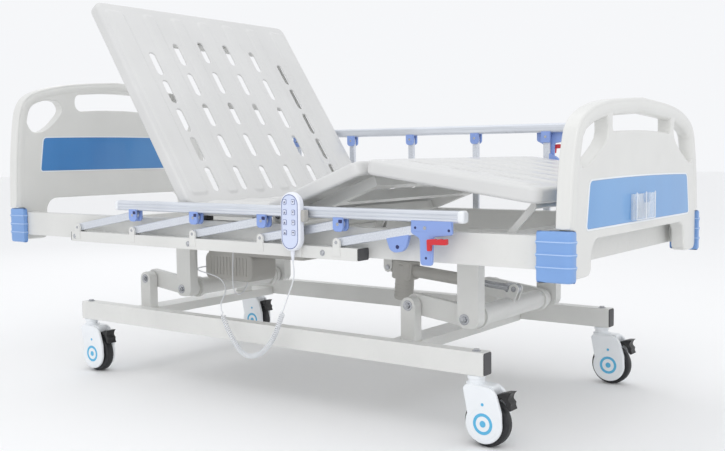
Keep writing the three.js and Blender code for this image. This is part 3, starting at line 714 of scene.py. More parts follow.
# ---------------------------------------------------------------- mattress decks
SLOT_HALF, SLOT_RADIUS = 0.045, 0.0125
DECK_CORNER, DECK_WALL, DECK_EDGE = 0.03, 0.013, 0.01
DECK_CEILING = 0.595
BAND_HALF, BAND_MARGIN, BAND_CORNER = 0.03, 0.03, 0.02
BAND_RISE, BAND_SLOPE = 0.0042, 0.013
OUTER_BAND, OUTER_BAND_HALF = 0.402, 0.042


def slot_outline(x, y):
    return link((x - SLOT_HALF + SLOT_RADIUS, y), (x + SLOT_HALF - SLOT_RADIUS, y), SLOT_RADIUS, 8)


def pad(shape, outline, base, rise):
    """A low raised field with soft flanks, on a face looking up or, with a negative rise, down."""
    if signed_area(outline) < 0:
        outline = outline[::-1]
    rings = []
    for k in range(6):
        t = k / 5
        height = base + rise * t * t * (3 - 2 * t)
        rings.append([(u, v, height) for u, v in inset(outline, BAND_SLOPE * t)])
    below = [(u, v, base - rise * 0.3) for u, v in outline]
    shape.loft([below, *rings])


def deck(name, body, span, slots, place=Matrix.Identity(4)):
    """A moulded section: thin skin and skirt, funnel-edged slots and lengthwise bands between them."""
    shape = Shape(name + "_moulding", place)
    x0, x1 = span
    outline = rounded_rect(x0, x1, -DECK_HALF, DECK_HALF, DECK_CORNER, 8)
    holes = [slot_outline(x, y) for x, y in slots]
    shape.tray(outline, holes, (DECK_BOTTOM, DECK_CEILING, DECK_TOP), DECK_WALL, DECK_EDGE)
    columns = [-c for c in reversed(SLOT_COLUMNS)] + list(SLOT_COLUMNS)
    bands = [((a + b) / 2, BAND_HALF) for a, b in zip(columns, columns[1:])]
    bands += [(side * OUTER_BAND, OUTER_BAND_HALF) for side in (-1, 1)]
    for y, half in bands:
        band = rounded_rect(x0 + BAND_MARGIN, x1 - BAND_MARGIN, y - half, y + half, BAND_CORNER, 5)
        pad(shape, band, DECK_TOP, BAND_RISE)
        pad(shape, band, DECK_CEILING, -BAND_RISE * 1.5)
    return shape.done(body, "deck", (name,), 50)


def make_decks():
    bow = (0, 0.038, 0.132)
    back = [(BACK_HINGE[0] - 0.1 - row * ROW_PITCH * (1 - bow[i]), side * column)
            for row in range(5) for i, column in enumerate(SLOT_COLUMNS) for side in (-1, 1)]

    def straight(places):
        return [(x, side * column) for x in places for column in SLOT_COLUMNS for side in (-1, 1)]

    deck("backrest_deck", "backrest", (-0.978, -0.19), back, PLACES["backrest"])
    deck("seat_deck", "bed", (-0.148, 0.132), straight([-0.008]))
    deck("thigh_deck", "thigh", (0.16, 0.514), straight([0.255, 0.386]), PLACES["thigh"])
    deck("leg_deck", "leg", (0.526, 1.034), straight([0.62, 0.751, 0.882]), PLACES["leg"])


make_decks()

# ---------------------------------------------------------------- head and foot boards
# The rim runs from a shoulder up the side to the middle of the top, and the hole lies round the hand
# hole of that side. The grip is a half width, bottom, height, rise and corner, and the panel a half
# width at its bottom and at its top, then its bottom and top.
BOARDS = {
    "foot": {
        "side": 1, "arch": 0.531,
        "rim": [(0.462, 0.564), (0.449, 0.69), (0.427, 0.78), (0.406, 0.812), (0.378, 0.831),
                (0.312, 0.854), (0.204, 0.871), (0, 0.883)],
        "hole": [(0.245, 0.776), (0.246, 0.826), (0.286, 0.838), (0.345, 0.828), (0.396, 0.806),
                 (0.419, 0.762), (0.396, 0.706), (0.328, 0.726)],
        "grip": (0.214, 0.79, 0.05, 0.006, 0.014),
        "panel": (0.372, 0.353, 0.557, 0.671),
    },
    "head": {
        "side": -1, "arch": 0.59,
        "rim": [(0.473, 0.564), (0.469, 0.69), (0.462, 0.79), (0.449, 0.89), (0.432, 0.938),
                (0.404, 0.967), (0.362, 0.986), (0.275, 1.007), (0.16, 1.022), (0, 1.034)],
        "hole": [(0.268, 0.905), (0.272, 0.941), (0.304, 0.952), (0.363, 0.946), (0.404, 0.928),
                 (0.42, 0.892), (0.395, 0.838), (0.338, 0.843)],
        "grip": (0.202, 0.916, 0.065, 0.007, 0.028),
        "panel": (0.363, 0.347, 0.692, 0.813),
    },
}
RIM_HALF, RIM_POINTS, RIM_SQUARE = (0.0215, 0.0222), 20, 0.8
RIM_FOOT_Z, RIM_FADE = 0.585, 0.0235
RIM_FOOT_Y = {"foot": 0.46, "head": 0.472}
BOARD_MIDDLE = 1.07
LEG_INNER, LEG_OUTER, SHOULDER_Z = 0.34, 0.4405, 0.56
FOOT_Z, FOOT_RADIUS, ARCH_RADIUS = 0.465, 0.022, 0.045


def rim_line(points):
    """The line of the rim from the right side over the top to the left side."""
    right = [tuple(p) for p in smooth_path(points, 5)]
    return right + [(-y, z) for y, z in right[-2::-1]]


def board_outline(data):
    """The arch between the legs, the right foot, the rim line over the top, the left foot."""
    arch = arc((LEG_INNER - ARCH_RADIUS, data["arch"] - ARCH_RADIUS), ARCH_RADIUS, 90, 0, 8)
    inner = arc((LEG_INNER + FOOT_RADIUS, FOOT_Z), FOOT_RADIUS, 180, 270, 5)
    outer = arc((LEG_OUTER - FOOT_RADIUS, FOOT_Z), FOOT_RADIUS, 270, 360, 5)
    right_foot = [*arch, (LEG_INNER, FOOT_Z), *inner, *outer, (LEG_OUTER, SHOULDER_Z)]
    left_foot = [(-y, z) for y, z in right_foot[::-1]]
    return right_foot + rim_line(data["rim"]) + left_foot


def grip_outline(half, bottom, height, rise, radius):
    """A slot that follows the arch of the top edge."""
    steps = 16
    ends = half - radius
    parts = [2 * k / steps - 1 for k in range(steps + 1)]

    def arch(z):
        return [(ends * part, z + rise * (1 - part ** 2)) for part in parts]

    right = arc((ends, bottom + radius), radius, -90, 0, 4)[1:]
    right += arc((ends, bottom + height - radius), radius, 0, 90, 4)[:-1]
    left = [(-y, z) for y, z in right[::-1]]
    return arch(bottom) + right + arch(bottom + height)[::-1] + left


def panel_outline(data, grow=0.0):
    """The blue panel: narrower at the top, which is slightly arched."""
    bottom, top, z0, z1 = data["panel"]
    arch = 0.004
    across = [(top * (1 - 2 * k / 12), z1 + arch * (1 - (1 - 2 * k / 12) ** 2)) for k in range(13)]
    corners = [(-bottom, z0), (bottom, z0), *across]
    radii = [0.01, 0.01, 0.014, *[0] * (len(across) - 2), 0.014]
    return inset(rounded_corners(corners, radii), -grow)


def rim_ring(y, z, normal):
    """One cross-section of the rim: a soft squared oval across the board."""
    ring = []
    for k in range(RIM_POINTS):
        a = 2 * math.pi * k / RIM_POINTS
        c, s = math.cos(a), math.sin(a)
        u = RIM_HALF[0] * math.copysign(abs(c) ** RIM_SQUARE, c)
        w = RIM_HALF[1] * math.copysign(abs(s) ** RIM_SQUARE, s)
        ring.append((BOARD_MIDDLE + w, y + normal[0] * u, z + normal[1] * u))
    return ring


def make_board(end):
    """A board's plate with hand holes and grip, its thick rim, and the blue panel with its edging."""
    data = BOARDS[end]
    body = end + "board"
    mirror = Matrix.Scale(data["side"], 4, (1, 0, 0))
    back, front = BOARD_X
    plate = Shape(body + "_plate", mirror)
    holes = [[(side * p[0], p[1]) for p in smooth_path(data["hole"], 4, True)] for side in (-1, 1)]
    plate.prism([board_outline(data), *holes, grip_outline(*data["grip"])], "x",
                (back + 0.002, front - 0.0018), 0.006, 4, hole_scale=0.6)
    plate.done(body, "board", (body,), 50)

    rim = Shape(body + "_rim", mirror)
    foot_y = RIM_FOOT_Y[end]
    line = [(foot_y, RIM_FOOT_Z), *rim_line(data["rim"])[2:-2], (-foot_y, RIM_FOOT_Z)]
    rings = []
    for i, point in enumerate(line):
        ahead = Vector(line[min(i + 1, len(line) - 1)]) - Vector(line[max(i - 1, 0)])
        normal = Vector((-ahead.y, ahead.x)).normalized()
        y, z = Vector(point) + normal * (RIM_HALF[0] - 0.0005)
        rings.append(rim_ring(y, z, normal))
    first, last = [[(x, y, z - RIM_FADE) for x, y, z in ring] for ring in (rings[0], rings[-1])]
    rim.loft([first, *rings, last])
    rim.done(body, "board", (), 50)

    insert = Shape(body + "_insert", mirror)
    insert.prism([panel_outline(data)], "x", (back + 0.001, front - 0.001), 0.0006, 2)
    insert.done(body, "panel_" + end, (body + "_panel",))
    edging = Shape(body + "_edging", mirror)
    edging.prism([panel_outline(data, 0.0045), panel_outline(data, 0.0002)], "x",
                 (back + 0.0006, front - 0.0004), 0.0006, 2)
    edging.done(body, "outline")


for end_name, _ in ENDS:
    make_board(end_name)


def make_chart_holder():
    """Clear pocket with thicker edges, brightened by near-white rods along them: painted highlights."""
    refined("chart_holder", "footboard", "clear", 0.0008)
    low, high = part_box("chart_holder")
    # Near-white rods up the pocket's sides and middle and along its bottom: painted highlights on its clear
    # edges.
    edges = Shape("chart_edge_highlights")
    margin = 0.002
    face = high.x - 0.0016
    for y in (low.y + margin, (low.y + high.y) / 2, high.y - margin):
        edges.rod("z", 0.0014, (low.z + margin, high.z + 0.004), (face, y), 0.0005, 10)
    edges.rod("y", 0.0013, (low.y + margin, high.y - margin), (face, low.z + margin), 0.0005, 10)
    edges.done("footboard", "outline")


make_chart_holder()


# ---------------------------------------------------------------- corner bumpers
BUMPER_Z = (0.437, 0.5585)
BUMPER_RIDGES = (0.3, 0.545, 0.79)
# The part of the height, and how far the face stands back there: at the foot, about the middle of
# each ridge, and at the head.
BUMPER_FOOT = [(0, 0.0095), (0.015, 0.0055), (0.06, 0.003)]
RIDGE_PROFILE = [(-0.06, 0.003), (-0.026, 0.0012), (0, 0.0006), (0.018, 0.0012), (0.034, 0.003)]
BUMPER_HEAD = [(0.95, 0.003), (0.985, 0.005), (1, 0.009)]


def make_bumpers():
    """Four caps round the frame's corners, each with three ridges and a light band on each ridge's crest: a
    painted highlight.
    """
    z0 = BUMPER_Z[0]
    height = BUMPER_Z[1] - z0
    rail, wrap, outer = 0.4553, 0.4415, 0.475
    inner, frame_end, face = 1.006, 1.03, 1.1
    outline = rounded_corners([(inner, rail), (frame_end, rail), (frame_end, wrap), (face, wrap),
                               (face, outer), (inner, outer)],
                              [0.001, 0.001, 0.001, 0.004, 0.022, 0.003], 8)
    ridges = [(middle + part, back) for middle in BUMPER_RIDGES for part, back in RIDGE_PROFILE]
    profile = BUMPER_FOOT + ridges + BUMPER_HEAD
    for end, sx in ENDS:
        for side_name, sy in SIDES:
            name = f"bumper_{end}_{side_name}"
            place = Matrix.Diagonal((sx, sy, 1, 1))
            cap = Shape(name + "_cap", place)
            cap.loft([[(x, y, z0 + part * height) for x, y in inset(outline, back)]
                      for part, back in profile])
            cap.done("bed", "bumper", (name,), 40)
            # A thin light band along each ridge's crest: a painted highlight where the ridge catches the
            # light.
            crest_highlights = Shape(name + "_crests", place)
            for middle in BUMPER_RIDGES:
                low, high = z0 + (middle - 0.006) * height, z0 + (middle + 0.014) * height
                levels = ((low, 0.002), (low, 0.0002), (high, 0.0002), (high, 0.002))
                crest_highlights.loft([[(x, y, z) for x, y in inset(outline, back)] for z, back in levels])
            crest_highlights.done("bed", "ridge")


make_bumpers()


# ---------------------------------------------------------------- folding side guards
POST_Y = (0.484, 0.496)
OUTER_Y = (0.4968, 0.5045)
INNER_Y = (0.4755, 0.4832)
RAIL_GAP, RAIL_HEIGHT = 0.014, 0.031
RAIL_PAST_FIRST, RAIL_PAST_LAST, RAIL_CAP = 0.086, 0.111, 0.02
# Outlines of (along, up, corner radius): the catch on its post, the rest about a post's top pivot.
CATCH = [(0.157, -0.009, 0.004), (0.163, -0.04, 0.006), (0.176, -0.05, 0.008),
         (0.202, -0.05, 0.008), (0.216, -0.038, 0.006), (0.23, -0.009, 0.004)]
CATCH_RIDGE = [(0.166, -0.012, 0.004), (0.172, -0.034, 0.004), (0.206, -0.034, 0.004),
               (0.22, -0.012, 0.004)]
FORK = [(-0.017, 0.018, 0.001), (-0.017, -0.013, 0.005), (-0.01, -0.02, 0.004),
        (0.01, -0.02, 0.004), (0.017, -0.013, 0.005), (0.017, 0.018, 0.001)]
LATCH = [(-0.042, 0.018, 0.001), (-0.042, -0.014, 0.006), (-0.016, -0.026, 0.008),
         (-0.014, -0.094, 0.009), (0.021, -0.094, 0.009), (0.024, -0.022, 0.006),
         (0.079, -0.015, 0.006), (0.079, 0.018, 0.001)]
LATCH_INNER = [(-0.017, 0.018, 0.001), (-0.017, -0.02, 0.006), (0.017, -0.02, 0.006),
               (0.017, 0.018, 0.001)]
LATCH_FIELDS = ((-0.01, 0.017, -0.088, -0.062), (-0.036, 0.006, -0.01, 0.009))
LATCH_SCREWS = ((-0.028, 0), (0.0035, -0.075), (0.07, -0.004))
LEVER = [(0.012, -0.027, 0.004), (0.0365, -0.025, 0.002), (0.0415, -0.0275, 0.002),
         (0.0465, -0.0247, 0.002), (0.0545, -0.0244, 0.002), (0.0595, -0.027, 0.002),
         (0.0645, -0.0242, 0.002), (0.07, -0.024, 0.003), (0.07, -0.039, 0.004),
         (0.024, -0.04, 0.004), (0.022, -0.056, 0.003), (0.013, -0.056, 0.003)]


def on_side(side, span):
    """A span of y, given for the far side, on the near or the far side."""
    return tuple(sorted(side * v for v in span))


def beyond(pivot, reach, degrees):
    """The point at a distance from a pivot, at an angle above +X."""
    angle = math.radians(degrees)
    return (pivot[0] + reach * math.cos(angle), pivot[1] + reach * math.sin(angle))


def post_feet(guard):
    return [(guard["first"] + POST_PITCH * i, POST_PIVOT_Z) for i in range(POSTS)]


def post_top(guard, foot):
    return beyond(foot, POST_LENGTH, guard["angle"])


def post_place(guard, foot):
    """The place of a post whose foot pivot is its own origin and whose length is its own x."""
    return Matrix.Translation((foot[0], 0, foot[1])) @ Matrix.Rotation(-math.radians(guard["angle"]), 4, "Y")


def make_post(name, guard, foot, body, node, latch):
    """An oval aluminium bar with a raised centre line on each face."""
    side = guard["side"]
    bar = Shape(name, post_place(guard, foot))
    y0, y1 = on_side(side, POST_Y)
    bar.prism([link((0, 0), (POST_LENGTH, 0), 0.0125, 12)], "y", (y0, y1), 0.0035, 4)
    line = rounded_rect(0.02, POST_LENGTH - 0.026, -0.0042, 0.0042, 0.0035, 3)
    bar.prism([line], "y", (y0 - 0.0004, y1 + 0.0004), 0.0003, 1)
    bar.done(body, "post", () if latch else (node,), 45)
    pins = Shape(name + "_pins")
    for spot in (foot, post_top(guard, foot)):
        pins.rod("y", 0.0048, on_side(side, (0.4748, 0.5056)), spot, 0.0008, 20)
    pins.done(body, "bright")


def make_catch(name, guard, foot, body, node):
    """The blue plate on the last post that the latch drops onto, with its dark locking pin."""
    side = guard["side"]
    plate = Shape(name + "_catch", post_place(guard, foot))
    plate.prism([rounded_outline(CATCH)], "y", on_side(side, (0.4838, 0.4962)), 0.0018, 3)
    plate.prism([rounded_outline(CATCH_RIDGE)], "y", on_side(side, (0.4834, 0.4966)), 0.0006, 2)
    plate.done(body, "guard", (node,), 45)
    pin = Shape(name + "_pin", post_place(guard, foot))
    pin.rod("y", 0.0055, on_side(side, (0.4833, 0.4967)), (0.189, -0.036), 0.0006, 20)
    pin.done(body, "navy")


def rail_section(side, z0, z1):
    """The top rail's outline: rounded box with two grip grooves along its outer face."""
    u0, u1 = 0.4755, 0.5045
    corner, groove, depth = 0.009, 0.0014, 0.0013
    middle, half = (z0 + z1) / 2, (z1 - z0) / 2
    outline = arc((u1 - corner, z0 + corner), corner, -90, 0, 6)
    for part in (-0.42, 0.42):
        z = middle + part * (half - 0.004)
        outline += [(u1, z - groove), (u1 - depth, z - 0.0006), (u1 - depth, z + 0.0006), (u1, z + groove)]
    outline += arc((u1 - corner, z1 - corner), corner, 0, 90, 6)
    outline += arc((u0 + corner, z1 - corner), corner, 90, 180, 6)
    outline += arc((u0 + corner, z0 + corner), corner, 180, 270, 6)
    return [(side * u, z) for u, z in outline]


def make_rail(side_name, guard):
    """The top rail with its end caps, the blue forks over the posts' tops and the latch."""
    side = guard["side"]
    tops = [post_top(guard, foot) for foot in post_feet(guard)]
    last = tops[-1]
    z0 = last[1] + RAIL_GAP
    z1 = z0 + RAIL_HEIGHT
    x0, x1 = tops[0][0] - RAIL_PAST_FIRST, last[0] + RAIL_PAST_LAST
    body = "rail_" + side_name
    rail = Shape(body + "_bar")
    rail.prism([rail_section(side, z0, z1)], "x", (x0 + 0.01, x1 - 0.01), 0.0008, 2)
    rail.done(body, "aluminium", (f"guard_rail_{side_name}",), 30)

    caps = Shape(body + "_end_caps")
    cap = rounded_rect(*on_side(side, (0.475, 0.505)), z0 - 0.0005, z1 + 0.0005, 0.0095, 6)
    for span in ((x0, x0 + RAIL_CAP), (x1 - RAIL_CAP, x1)):
        caps.prism([cap], "x", span, 0.007, 5)
    caps.done(body, "caster", (), 50)

    forks = Shape(body + "_forks")
    inserts = Shape(body + "_inserts")
    for x, z in tops[:-1]:
        for layer in (OUTER_Y, INNER_Y):
            forks.prism([rounded_outline(FORK, (x, z))], "y", on_side(side, layer), 0.0014, 3)
        for face in ((0.475, 0.4768), (0.5035, 0.5051)):
            forks.prism([circle((x, z), 0.0085, 24)], "y", on_side(side, face), 0.0004, 1)
        insert = rounded_rect(x + 0.003, x + 0.0155, z + 0.003, z + 0.0125, 0.002, 3)
        inserts.prism([insert], "y", on_side(side, (0.5035, 0.5052)), 0.0004, 1)
    forks.done(body, "guard", (), 45)
    inserts.done(body, "navy")
    make_latch(side_name, side, last)


def make_latch(side_name, side, pivot):
    """The latch housing on the rail and its red release lever, about the latch post's top pivot."""
    x, z = pivot
    body = "rail_" + side_name
    block = Shape(body + "_latch")
    block.prism([rounded_outline(LATCH, pivot)], "y", on_side(side, OUTER_Y), 0.0018, 3)
    block.prism([rounded_outline(LATCH_INNER, pivot)], "y", on_side(side, INNER_Y), 0.0014, 3)
    for u0, u1, v0, v1 in LATCH_FIELDS:
        field = rounded_rect(x + u0, x + u1, z + v0, z + v1, 0.004, 4)
        block.prism([field], "y", on_side(side, (0.504, 0.505)), 0.0004, 1)
    block.done(body, "guard", (), 45)
    screws = Shape(body + "_latch_screws")
    for along, up in LATCH_SCREWS:
        screws.rod("y", 0.0036, on_side(side, (0.5042, 0.5052)), (x + along, z + up), 0.0004, 16)
    screws.done(body, "navy")

    release = "release_" + side_name
    lever = Shape(release + "_lever")
    lever.prism([rounded_outline(LEVER, pivot)], "y", on_side(side, (0.5053, 0.5168)), 0.0018, 3)
    lever.rod("y", 0.0055, on_side(side, (0.516, 0.517)), (x + 0.024, z - 0.034), 0.0004, 20)
    lever.done(release, "red", (f"guard_lever_{side_name}",), 45)


EAR_LAYERS = ((0.503, 0.5046), (0.4753, 0.4772))
EAR_RADIUS, EAR_FOOT_HALF, EAR_Z = 0.0118, 0.0135, (0.47, 0.493)
BASE_PAST_FIRST, BASE_PAST_LAST = 0.033, 0.069
BASE_BOLTS = (-0.015, 0.531, 1.052)


def make_guard_base(side_name, guard):
    """The guard's base rail with an ear on each face of each post's pivot, end caps and bolts."""
    side = guard["side"]
    node = "guard_base_" + side_name
    refined(node, "bed", "steel", 0.0018)
    feet = post_feet(guard)
    x0, x1 = feet[0][0] - BASE_PAST_FIRST, feet[-1][0] + BASE_PAST_LAST
    low, high = EAR_Z
    uprights = Shape(node + "_uprights")
    for x, z in feet:
        ear = arc((x, z), EAR_RADIUS, 0, 180, 12)
        ear += [(x - EAR_RADIUS, high), (x - EAR_FOOT_HALF, low)]
        ear += [(x + EAR_FOOT_HALF, low), (x + EAR_RADIUS, high)]
        for layer in EAR_LAYERS:
            uprights.prism([ear], "y", on_side(side, layer), 0.0005, 2)
    uprights.done("bed", "steel")
    caps = Shape(node + "_end_caps")
    cap = rounded_rect(*on_side(side, (0.456, 0.5025)), 0.4605, 0.493, 0.004, 4)
    for span in ((x0 - 0.004, x0 + 0.001), (x1 - 0.001, x1 + 0.004)):
        caps.prism([cap], "x", span, 0.0015, 2)
    caps.done("bed", "dark")
    bolts = Shape(node + "_bolts")
    for along in BASE_BOLTS:
        spot = (guard["first"] + along, 0.4765)
        bolts.rod("y", 0.0085, on_side(side, (0.5025, 0.504)), spot, 0.0004, 24)
        bolts.prism([circle(spot, 0.0055, 6)], "y", on_side(side, (0.503, 0.5065)), 0.0008, 1)
    bolts.done("bed", "bright")


for side_label, guard_data in GUARDS.items():
    for number, point in enumerate(post_feet(guard_data), 1):
        is_latch = number == POSTS
        post_body = f"latch_post_{side_label}" if is_latch else f"post_{side_label}_{number}"
        cad_node = f"guard_latch_post_{side_label}" if is_latch else f"guard_post_{side_label}_{number}"
        make_post(post_body + "_bar", guard_data, point, post_body, cad_node, is_latch)
        if is_latch:
            make_catch(post_body, guard_data, point, post_body, cad_node)
    make_rail(side_label, guard_data)
    make_guard_base(side_label, guard_data)


# ---------------------------------------------------------------- handset
HANDSET = (0.268, 0.338, 0.479, 0.64)
HANDSET_FRONT, HANDSET_BACK = -0.533, -0.511
KEY_ROWS, KEY_COLUMNS = (0.614, 0.5855, 0.558, 0.53), (0.2865, 0.3165)
KEY_HALF, KEY_LIP = (0.0064, 0.0072), 0.0014
MARK_HALF, MARK_RISE = 0.0026, 0.0024
HANDSET_RELIEF = [(0.48, 0.0058), (0.468, 0.0056), (0.466, 0.0046), (0.464, 0.0052), (0.462, 0.0043),
                  (0.46, 0.0048), (0.4575, 0.0038), (0.455, 0.0042), (0.452, 0.003)]


def make_keys():
    """Two columns of keys, up on the left and down on the right, with a bar that tells the row."""
    front = HANDSET_FRONT
    keys = Shape("handset_keys")
    faces = Shape("handset_key_faces")
    marks = Shape("handset_key_marks")
    w, h = KEY_HALF
    mark_span = (front - 0.0022, front - 0.0015)
    for row, z in enumerate(KEY_ROWS):
        for x, rise in zip(KEY_COLUMNS, (MARK_RISE, -MARK_RISE)):
            key = rect_about(x, z, w, h, 0.0024, 4)
            keys.prism([key], "y", (front - 0.0016, front), 0.0006, 2)
            face = rect_about(x, z, w - KEY_LIP, h - KEY_LIP, 0.0015, 3)
            faces.prism([face], "y", (front - 0.0019, front - 0.001), 0.0002, 1)
            flat = z - rise
            arrow = [(x - MARK_HALF, flat), (x + MARK_HALF, flat), (x, z + rise)]
            marks.prism([arrow], "y", mark_span)
            bar = rounded_rect(x - 0.003, x + 0.003, flat - 0.001 - 0.0003 * row, flat - 0.0004, 0.0002, 1)
            marks.prism([bar], "y", mark_span)
    keys.done("bed", "key")
    faces.done("bed", "key_print")
    marks.done("bed", "navy")


def make_handset():
    """The shell with its rim, membrane, keys and strain relief, and the clip that it hangs by."""
    front, back = HANDSET_FRONT, HANDSET_BACK
    outline = rounded_rect(*HANDSET, 0.034, 10)
    shell = Shape("handset_shell")
    shell.prism([outline], "y", (front, back), 0.0065, 5)
    shell.prism([inset(outline, 0.003)], "y", (back - 0.0005, back + 0.0003), 0.0003, 1)
    shell.done("bed", "handset", ("handset",), 50)
    rim = Shape("handset_rim")
    band = [inset(outline, 0.0058), inset(outline, 0.0078)]
    rim.prism(band, "y", (front - 0.0007, front + 0.001), 0.0003, 1)
    rim.done("bed", "key")
    membrane = Shape("handset_membrane")
    membrane.prism([inset(outline, 0.0079)], "y", (front - 0.0004, front + 0.001), 0.0002, 1)
    membrane.done("bed", "keypad")
    make_keys()
    relief = Shape("handset_strain_relief")
    relief.relief("z", HANDSET_RELIEF, CORD_TOP[0][:2], 20)
    relief.done("bed", "handset")
    clip = Shape("handset_clip")
    clip.prism([rounded_rect(0.3375, 0.35, 0.56, 0.592, 0.004, 4)], "y", (-0.5275, -0.5088), 0.002, 3)
    clip.prism([rounded_rect(0.306, 0.344, 0.566, 0.586, 0.004, 4)], "y", (-0.5109, -0.5085), 0.0008, 2)
    clip.done("bed", "motor")


make_handset()


# ---------------------------------------------------------------- casters
COVER_SPANS = ((0.018, 0.03), (-0.03, -0.018))
CAP_SPAN = (-0.0185, 0.0185)
LINE_FACES = (-0.0306, 0.0292)
RING_FACES = (-0.0307, 0.0293)
PRINT_DEPTH = 0.0014
STEM = [(0.0, 0.157), (0.027, 0.157), (0.0272, 0.1605), (0.021, 0.1625), (0.0205, 0.17),
        (0.0235, 0.1712), (0.024, 0.179), (0.0232, 0.1797), (0.0, 0.1797)]


def shifted(middle, span):
    return middle + span[0], middle + span[1]


def cover_outline(x):
    """A caster's side cover: round over the hub, narrower up to the swivel stem at x."""
    hub = (x + CASTER_TRAIL, WHEEL_RADIUS)
    points = arc(hub, 0.0515, -205, 8, 30)
    points += [(hub[0] + 0.05, 0.095), (hub[0] + 0.0435, 0.118)]
    points += arc((hub[0] + 0.004, 0.121), 0.037, 12, 90, 8)
    points += arc((x - 0.01, 0.1435), 0.015, 90, 172, 5)
    return points


def flat_ring(shape, center, outer, inner, span):
    shape.prism([circle(center, outer, 48), circle(center, inner, 48)], "y", span, 0.0004, 1)


def make_caster(end, side_name, side):
    """A swivel stem, two covers joined over the wheel, and the blue rings and rivet on each cover."""
    key = f"{end}_{side_name}"
    x, y = CASTER_X[end], side * CASTER_Y
    hub = (x + CASTER_TRAIL, WHEEL_RADIUS)
    body = "caster_" + key
    cover = Shape(body + "_covers")
    for span in COVER_SPANS:
        cover.prism([cover_outline(x)], "y", shifted(y, span), 0.0045, 4)
    top = rounded_rect(x - 0.022, x + 0.058, 0.1285, 0.159, 0.008, 4)
    cover.prism([top], "y", shifted(y, CAP_SPAN), 0.001, 1)
    for face in LINE_FACES:
        flat_ring(cover, hub, 0.0415, 0.0398, (y + face, y + face + PRINT_DEPTH))
    cover.done(body, "caster", ("caster_housing_" + key,), 40)
    trim = Shape(body + "_rings")
    rivets = Shape(body + "_rivets")
    for face in RING_FACES:
        span = (y + face, y + face + PRINT_DEPTH)
        flat_ring(trim, hub, 0.0275, 0.0195, span)
        trim.prism([circle(hub, 0.0085, 32)], "y", span, 0.0004, 1)
        rivets.rod("y", 0.0042, span, (hub[0] - 0.001, 0.112), 0.0004, 20)
    trim.done(body, "ring")
    rivets.done(body, "ring")
    stem = Shape(body + "_stem")
    stem.lathe(STEM, "z", (x, y), 36)
    stem.done(body, "caster")
    make_wheel(key, hub, y)
    make_pedal(key, x, y)


TREAD_HALF, TREAD_BORE = 0.015, 0.04
# Half of the tread's section from its side face to its middle: (depth under the rim, along).
TREAD_SHOULDER = [(0.01, 0.015), (0.0035, 0.0138), (0.0008, 0.0105), (0, 0.006)]
PEDAL_HALF = 0.0168


def make_wheel(key, hub, y):
    body = "wheel_" + key
    tread = Shape(body + "_tread")
    shoulder = [(WHEEL_RADIUS - depth, -w) for depth, w in TREAD_SHOULDER]
    profile = [(TREAD_BORE, -TREAD_HALF), *shoulder]
    profile += [(radius, -w) for radius, w in reversed(profile)]
    tread.lathe([(radius, y + w) for radius, w in profile], "y", hub, 72)
    tread.done(body, "tyre", ("caster_wheel_" + key,), 40)
    core = Shape(body + "_core")
    core.lathe([(0.0068, y - 0.014), (0.04, y - 0.011), (0.0402, y + 0.011), (0.0068, y + 0.014)],
               "y", hub, 48)
    core.rod("y", 0.0058, (y - 0.0176, y + 0.0176), hub, 0.0004, 20)
    core.done(body, "motor")


# The pedal's side view about the swivel axis, with the radius of each corner.
PEDAL = [
    (0.066, 0.1215, 0.002), (0.076, 0.133, 0.004), (0.09, 0.122, 0.005), (0.095, 0.106, 0.004),
    (0.102, 0.101, 0.002), (0.108, 0.104, 0.002), (0.1035, 0.113, 0.004), (0.1055, 0.121, 0.003),
    (0.097, 0.129, 0.004), (0.099, 0.139, 0.004), (0.106, 0.148, 0.0015), (0.089, 0.1465, 0.004),
    (0.065, 0.1385, 0.003),
]


def make_pedal(key, x, y):
    body = "pedal_" + key
    pedal = Shape(body + "_lever")
    pedal.prism([rounded_outline(PEDAL, (x, 0))], "y", (y - PEDAL_HALF, y + PEDAL_HALF), 0.0018, 3)
    pedal.done(body, "black", ("caster_pedal_" + key,), 45)


for end_name, _ in ENDS:
    for side_label, side_sign in SIDES:
        make_caster(end_name, side_label, side_sign)


# ---------------------------------------------------------------- base frame and swing arms
def bolt(shape, axis, face, side, center, size=0.009):
    """A washer and a hexagon head standing out of a face on the given side of it."""
    washer = sorted((face - side * 0.0005, face + side * 0.0018))
    head = sorted((face + side * 0.001, face + side * 0.0075))
    shape.rod(axis, size * 1.7, washer, center, 0.0004, 28)
    shape.prism([circle(center, size, 6)], axis, head, 0.001, 2)
    shape.rod(axis, size * 0.45, sorted((face, face + side * 0.01)), center, 0.0006, 16)


def weld(shape, points, radius=0.0028):
    """A rippled fillet bead along straight stretches between points."""
    path, radii = [], []
    for a, b in zip(points, points[1:]):
        a, b = Vector(a), Vector(b)
        count = max(2, round((b - a).length / 0.0035))
        for k in range(count):
            path.append(a.lerp(b, k / count))
            radii.append(radius * (1.0 if k % 2 else 0.86))
    path.append(Vector(points[-1]))
    radii.append(radius)
    shape.tube(path, radii, 8)


BASE_RAIL_Y, BASE_RAIL_Z = (0.3855, 0.4225), (0.1815, 0.2385)
BASE_RAIL_ENDS = ((-0.756, -0.752), (0.839, 0.843))
PLATE_FACE = 0.26
LUG_HALF, LUG_Y, LUG_FOOT = 0.0245, (0.2245, 0.2605), 0.2065
CROSS_TUBE, CROSS_TUBE_END = (-0.0652, 0.0252), 0.3838


